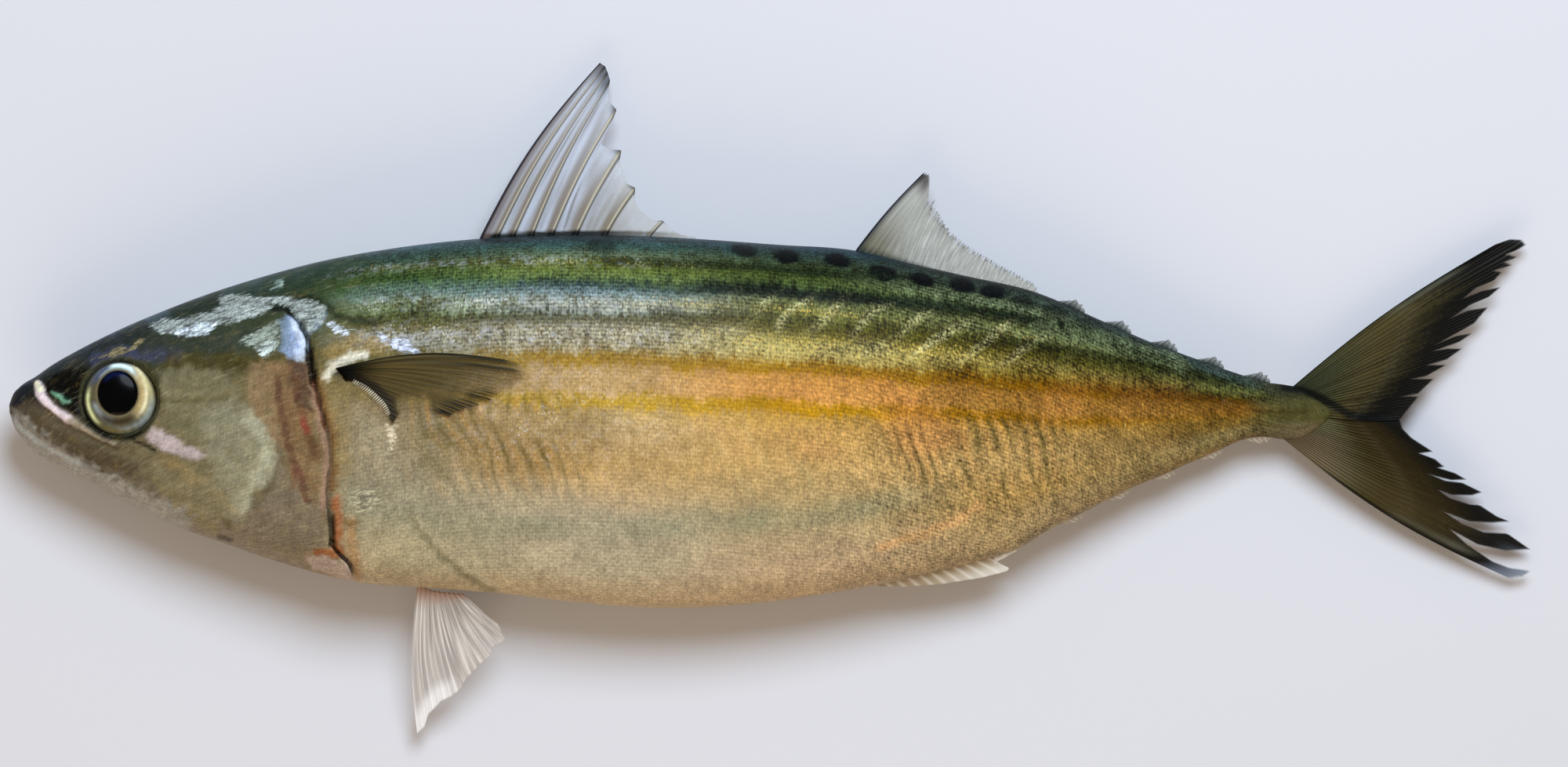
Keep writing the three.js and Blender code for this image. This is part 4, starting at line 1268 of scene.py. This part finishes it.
fin("soft_back_fin", "second_dorsal_fin",
    [(138.8, 25.2), (146, 23.4), (157, 20.9), (169, 18.2)],
    [(0, 150.6, 38.9), (0.05, 151.6, 38.5), (0.12, 151.6, 37.2), (0.22, 151.5, 35.4), (0.25, 151.3, 34.2),
     (0.27, 152.6, 34.6), (0.29, 151.9, 33.4), (0.33, 153, 32.4), (0.37, 153.6, 31.2), (0.42, 154.9, 29.2),
     (0.5, 157, 27.4), (0.606, 159.6, 25.7), (0.74, 163, 23.7), (0.87, 166.8, 21.7), (0.95, 168.8, 20.6),
     (1, 169.6, 19.2)],
    300, 44, 0.6, paint_second_dorsal, bow=lambda across: 0.4 * (1 - across), at_ray=even_rays(30, 0.26),
    teeth=(60, 0.6))


# Finlets: a row of low fringes between the big fins and the tail, above and below.
def paint_finlet(across, out, along, up, ray):
    colour = layered((32, 40, 36), ((120, 124, 120), step(0.2, 0.9, out)), ((56, 58, 54), ray * 0.5))
    return colour, 0.95 - 0.5 * out + 0.3 * ray


def paint_pale_finlet(across, out, along, up, ray):
    return layered((176, 160, 134), ((208, 202, 190), ray)), 0.16 + 0.34 * ray


FINLET_FIRST = 172.2
FINLET_PITCH = 7.65
FINLET_LENGTH = 4.6
for i in range(5):
    start = FINLET_FIRST + i * FINLET_PITCH
    for node, line, sign, height, paint in (
            (f"dorsal_finlet_{i + 1}", back_line, 1, 1.8, paint_finlet),
            (f"anal_finlet_{i + 1}", belly_line, -1, 1.3, paint_pale_finlet)):
        end = start + FINLET_LENGTH
        root = [(start - 0.3, line(start - 0.3) - 0.5 * sign), (end, line(end) - 0.5 * sign)]
        edge = [(start + 1, line(start + 1) + sign * 0.3), (start + 3.9, line(start + 3.9) + sign * height),
                (start + 3.6, line(start + 3.6) + sign * height * 0.75),
                (end, line(end) + sign * height * 0.7),
                (start + 4.3, line(start + 4.3) + sign * height * 0.5),
                (start + 5, line(start + 5) + sign * height * 0.35)]
        fin(f"fringe_{node}", node, root, edge, 26, 12, 0.4, paint,
            at_ray=even_rays(6, 0.4), teeth=(6, 0.35))


# Anal fin: folded back along the belly, its pale tip free.
def paint_anal(across, out, along, up, ray):
    pale = step(0.3, 0.9, out) * step(0.2, 0.8, across)
    colour = layered((170, 152, 122), ((232, 230, 224), pale), ((240, 238, 232), ray * 0.5))
    return colour, 0.75 + 0.2 * ray - 0.2 * out


fin("folded_anal_fin", "anal_fin",
    [(141.5, -28.2), (150, -26.4), (158, -24.6), (165.5, -22.4)],
    [(142.8, -29.4), (148, -29.4), (153.5, -29), (160, -28), (164.3, -26.9), (164.6, -26.4), (162, -25.6),
     (165.8, -23.6)],
    110, 26, 0.6, paint_anal, at_ray=even_rays(14, 0.4))

# ---- Tail fin ---------------------------------------------------------------------------------
# Two stiff swept lobes of many close rays on one root. The rays end in loose dark fingers along
# the rear edge, frayed by handling.


def tail_height(along, up):
    return mid_plane(along)


# The fold where the upper lobe of the tail meets the lower one; the near-black line along it is painted
# shade.
TAIL_FOLD_SHADE_LINE = [(210, 3), (213, 2.9), (215.9, 1.7), (220.9, -1.2), (224.5, -1.9), (229.2, -2)]


def paint_tail(across, out, along, up, ray, *more_layers):
    grain = ripple(along * 2, up * 2, 1, 77)
    fine = ripple(across * 150, out * 4, 1, 79)
    streak = ripple(across * 36, out * 2, 1, 81)
    light = 0.22 * np.clip(0.15 * ray + 1.3 * fine, 0, 1) * step(0.8, 0.3, out)
    pale = bell(across, 0.05, 0.03) * step(0.4, 0.6, out) * step(0.85, 0.7, out)
    colour = layered(
        (76, 84, 62), ((76, 68, 38), step(0.02, 0.4, out + 0.1 * grain)),
        ((40, 30, 12), 0.5 * np.clip(streak, 0, 1)),
        ((8, 7, 4), step(0.4, 0.84, out + 0.2 * across + 0.06 * grain + 0.05 * streak)),
        ((110, 98, 58), light), ((104, 106, 92), 0.7 * pale), ((14, 18, 24), bell(across, 0, 0.012)),
        # Painted shade along the fold between the lobes.
        ((10, 14, 16), 0.85 * stroke(TAIL_FOLD_SHADE_LINE, 0.5, 0.8, along, up)), *more_layers)
    return colour, 0.97 - 0.3 * step(0.95, 1, out) * (1 - ray)


def paint_lower_tail(across, out, along, up, ray):
    rose = step(0.36, 0.08, out) * step(0.2, 0.55, across)
    edge = step(0.95, 0.99, across) * step(0.1, 0.3, out)
    tip = step(0.84, 1, out) * step(0.8, 0.9, across)
    colour, cover = paint_tail(
        1 - across, out, along, up, ray,
        ((58, 46, 18), 0.6 * step(0.25, 0.45, out) * step(0.85, 0.6, out)),
        ((132, 128, 92), 0.75 * step(0.4, 0.08, out) * step(0.6, 0.2, across)),
        ((138, 120, 94), rose * (0.7 + 0.3 * ray)), ((16, 14, 10), 0.8 * edge), ((132, 142, 160), tip * 0.8))
    return colour, cover - 0.2 * tip


# The outlines of the lobes, closed well beyond their front edges, which the rays themselves draw.
UPPER_LOBE = [
    (200, 40), (245, 34), (245, 27), (247.4, 27.8), (249.2, 27.6), (249.9, 26.9), (248.6, 26.1),
    (246.6, 25.3), (248.3, 24.8), (246.2, 24), (247.4, 23.5), (244.4, 22.6), (245.8, 22.3), (244.6, 21),
    (241.6, 19.8), (239.4, 17.9), (242.6, 19.2), (245.5, 19.8), (243.8, 18.3), (240.7, 17), (237.2, 14.6),
    (240.4, 16), (243.5, 16.5), (241.3, 13.9), (238.2, 12.2), (234.8, 10.3), (238.4, 11.8), (240.8, 12.2),
    (238.9, 10.9), (234.4, 9.3), (237, 9.7), (239.2, 9.7), (236.8, 8), (233.4, 7), (236.5, 7), (233.5, 5.3),
    (230.6, 4.7), (234.5, 4.7), (232.1, 2.4), (229, 1.8), (232, 1.8), (229.9, -0.8), (229, -2), (229, -12),
    (200, -12)]
LOWER_LOBE = [
    (200, 10), (229, 10), (229, -2.1), (229.5, -3.5), (231, -5), (234.4, -7.2), (232.2, -7.5), (234.9, -8.5),
    (236.3, -9.7), (235.3, -9.9), (238.2, -10.8), (239.9, -11.8), (237.6, -11.9), (233.7, -10.9),
    (236.6, -12.1), (239.4, -12.4), (242.5, -13.9), (241, -14.4), (237.6, -14.3), (235.2, -13.4),
    (237.2, -14.9), (240.7, -16), (242.3, -16.1), (245.2, -18), (247, -18.7), (244.4, -18.9), (240.6, -18.7),
    (236.1, -17), (239.4, -19.2), (243, -20.6), (246.9, -20.8), (250.5, -23.3), (246.6, -23.5), (242, -22.5),
    (237.2, -19.9), (240.2, -22.6), (244.4, -25.4), (247.3, -26.5), (250.4, -26.9), (249.4, -27.7),
    (247.3, -28), (245.6, -36), (200, -36)]

fin("upper_tail_lobe", "tail_fin",
    [(210.6, 2.8), (211.8, 2), (212.6, 0.7), (213.2, -0.8)],
    [(245, 27), (247.4, 27.9), (249.3, 27.8), (250.3, 26.7), (249.4, 24.2), (246.6, 19.8), (244.4, 15.8),
     (241.8, 11.4), (240, 8.6), (237.2, 5.8), (235, 3.4), (232.4, 0.6), (229, -2)],
    400, 90, 1.1, paint_tail, height=tail_height, at_ray=even_rays(26, 0.6, 0.45),
    bow=lambda across: 1.2 * (1 - across) ** 1.6 - 0.6 * across, outline=UPPER_LOBE)
fin("lower_tail_lobe", None,
    [(213.2, -0.8), (212.6, -2.2), (211.2, -3.8), (209.4, -4.8)],
    [(229, -2), (232, -4), (235, -6.2), (238.6, -9.4), (243.2, -13), (247.4, -17.4), (250.3, -21.6),
     (251, -24.4), (250.8, -27.1), (249.4, -28), (247.4, -28.2)],
    400, 90, 1.1, paint_lower_tail, height=lambda along, up: mid_plane(along) - 0.35,
    at_ray=even_rays(26, 0.6, 0.45), bow=lambda across: -1.8 * across, outline=LOWER_LOBE)

# ---- Pectoral fins ----------------------------------------------------------------------------
# One behind each gill cover: a short thick root and close brown rays, lying back along the flank.
# The right one is pressed flat between the fish and the surface.

PECTORAL_ROOT = [(54.1, 6.5), (54.6, 6), (55.2, 5.3), (55.6, 4.8)]
PECTORAL_EDGE = [
    (83.6, 7.6), (84.8, 6.8), (86, 5.6), (85.2, 4), (83.2, 3.1), (81.2, 2.1), (78.6, 0.6), (76.4, -0.4),
    (74.6, -1.2), (73, -1.8), (71, -1.8), (69, -1.8), (67, -2), (65, -2.6), (63.2, -3), (62.2, -1.4),
    (61.2, 0.4), (60, 2), (58.6, 3)]
PECTORAL_OUTLINE = [
    (52, 7.2), (56, 12), (84, 12), (84.6, 6.9), (83.8, 6.3), (86, 5.7), (84.4, 5.1), (85.4, 4.5), (83, 4.2),
    (83.6, 3.4), (81.2, 3), (81.8, 2.5), (79.4, 1.9), (79.6, 1.3), (77.2, 0.9), (77.6, 0.4), (75, 0.1),
    (75.2, -0.5), (73.6, -0.4), (72.8, -1.4), (71.4, -0.8), (69, -0.4), (66.4, -0.2), (65, -0.4),
    (64.2, -1.2), (63.4, -2.6), (62.9, -1), (62.3, 0.4), (61.2, 1.7), (59.7, 3), (57.4, 4.3), (55.4, 4.6),
    (52, 4.4)]


def flank_fin_height(along, up):
    lift = 0.35 + 0.5 * step(56, 62, along)
    return mid_plane(along) + flank_height(along, up) + lift


def under_fin_height(along, up):
    return np.full(np.shape(along), 0.35)


def paint_pectoral(across, out, along, up, ray):
    streak = ripple(across * 90, out * 2, 1, 31)
    fine = np.clip(0.5 + 0.5 * streak, 0, 1)
    root = step(0.3, 0.06, out)
    top = np.clip(bell(across, 0, 0.03) + 0.7 * bell(across, 0.08, 0.012), 0, 1) * step(1, 0.9, out)
    # Painted shade: dark brown along the lower front edge, under the pale fringe.
    front = stroke([(57, 4.9), (60.4, 3.4), (62.6, 1.2), (63.4, -1.8)], 0.7, 1.4, along, up)
    tips = stroke([(72.4, -0.8), (75, 0.3), (79, 1.9)], 1.6, 1.6, along, up)
    colour = layered(
        (100, 84, 42), ((36, 32, 16), np.clip(0.25 + ray * 0.3 + 0.5 * streak, 0, 1)), ((12, 12, 8), root),
        ((16, 18, 10), top), ((26, 22, 14), 0.9 * front), ((8, 5, 2), tips * step(-0.3, 0.3, streak)))
    clear = stroke([(65.4, 0.6), (68.6, 0.4)], 0.6, 3, along, up)
    far = step(0.4, 0.9, out) * step(0.42, 0.3, across)
    cover = 0.82 + 0.18 * root - 0.62 * clear - 0.74 * far * (1 - 0.7 * fine)
    cover = np.clip(cover + top + 0.5 * tips * fine + 0.6 * front, 0, 1)
    return colour, 1 - np.sqrt(1 - cover * (1 - 0.5 * step(0.85, 1, out) * (1 - fine) * (1 - top)))


def paint_fringe(across, out, along, up, ray):
    uneven = ripple(across * 14, out, 1, 33)
    return layered((150, 140, 112), ((226, 220, 202), ray)), (0.8 + 0.5 * uneven) * ray * step(1, 0.2, out)


for side, lie, lift in (("left", flank_fin_height, 0.12), ("right", under_fin_height, 0)):
    fin(f"{side}_side_fin", f"{side}_pectoral_fin", PECTORAL_ROOT, PECTORAL_EDGE,
        260, 80, 0.5, paint_pectoral, height=lie, at_ray=even_rays(19, 0.45, 0.6),
        bow=lambda across: 1.9 * (1 - across) ** 2 - 0.5 * across, outline=PECTORAL_OUTLINE)
    fin(f"{side}_side_fin_fringe", None,
        [(57.2, 4.7), (59.5, 3.4), (61.1, 2), (62.4, 0.6), (63.1, -0.9)],
        [(56.6, 4), (58.8, 2.6), (60.2, 1.2), (61.6, -0.1), (62.4, -1.4)],
        170, 10, 0.15, paint_fringe, height=lambda along, up: lie(along, up) + lift,
        at_ray=even_rays(23, 0.5))

# ---- Pelvic fins ------------------------------------------------------------------------------
# A pair of small white fins under the chest. The left one stands down off the belly, spread; the
# right one is folded back under the fish.


def paint_pelvic(across, out, along, up, ray):
    streak = ripple(across * 34, out * 2, 1, 57)
    fine = np.clip(0.4 + 0.35 * ray + 0.6 * streak, 0, 1)
    tip = step(0.78, 0.92, out) * step(0.5, 0.3, across)
    colour = layered((176, 170, 166), ((236, 232, 230), fine), ((188, 158, 146), step(0.2, 0, out)),
                     ((244, 246, 252), 0.8 * tip))
    return colour, 0.3 + 0.3 * fine + 0.12 * ray + 0.3 * step(0.2, 0, out) + 0.35 * tip


fin("spread_belly_fin", "left_pelvic_fin",
    [(67.2, -29), (69.5, -30), (72, -30.4), (74.6, -30.6)],
    [(67, -53.8), (68.2, -52.6), (68.8, -50.6), (70.2, -49.2), (70.9, -48.4), (72.6, -47.6), (74.2, -46.4),
     (75, -44.8), (76.2, -43.6), (77.4, -42.2), (79, -41), (79.6, -39.4), (81.6, -38.2), (80.4, -35.6)],
    220, 60, 0.7, paint_pelvic, bow=lambda across: -0.9 * (1 - across), at_ray=even_rays(11, 0.22, 0.45))


def right_flank_height(along, up):
    return mid_plane(along) - flank_height(along, up) - 0.5


fin("folded_belly_fin", "right_pelvic_fin",
    [(69.2, -22.4), (70, -21.6), (70.6, -20.8)],
    [(90, -25), (93.2, -23), (92, -22), (88, -21.4)],
    60, 40, 0.6, paint_pelvic, height=right_flank_height, at_ray=even_rays(7, 0.3, 0.5))
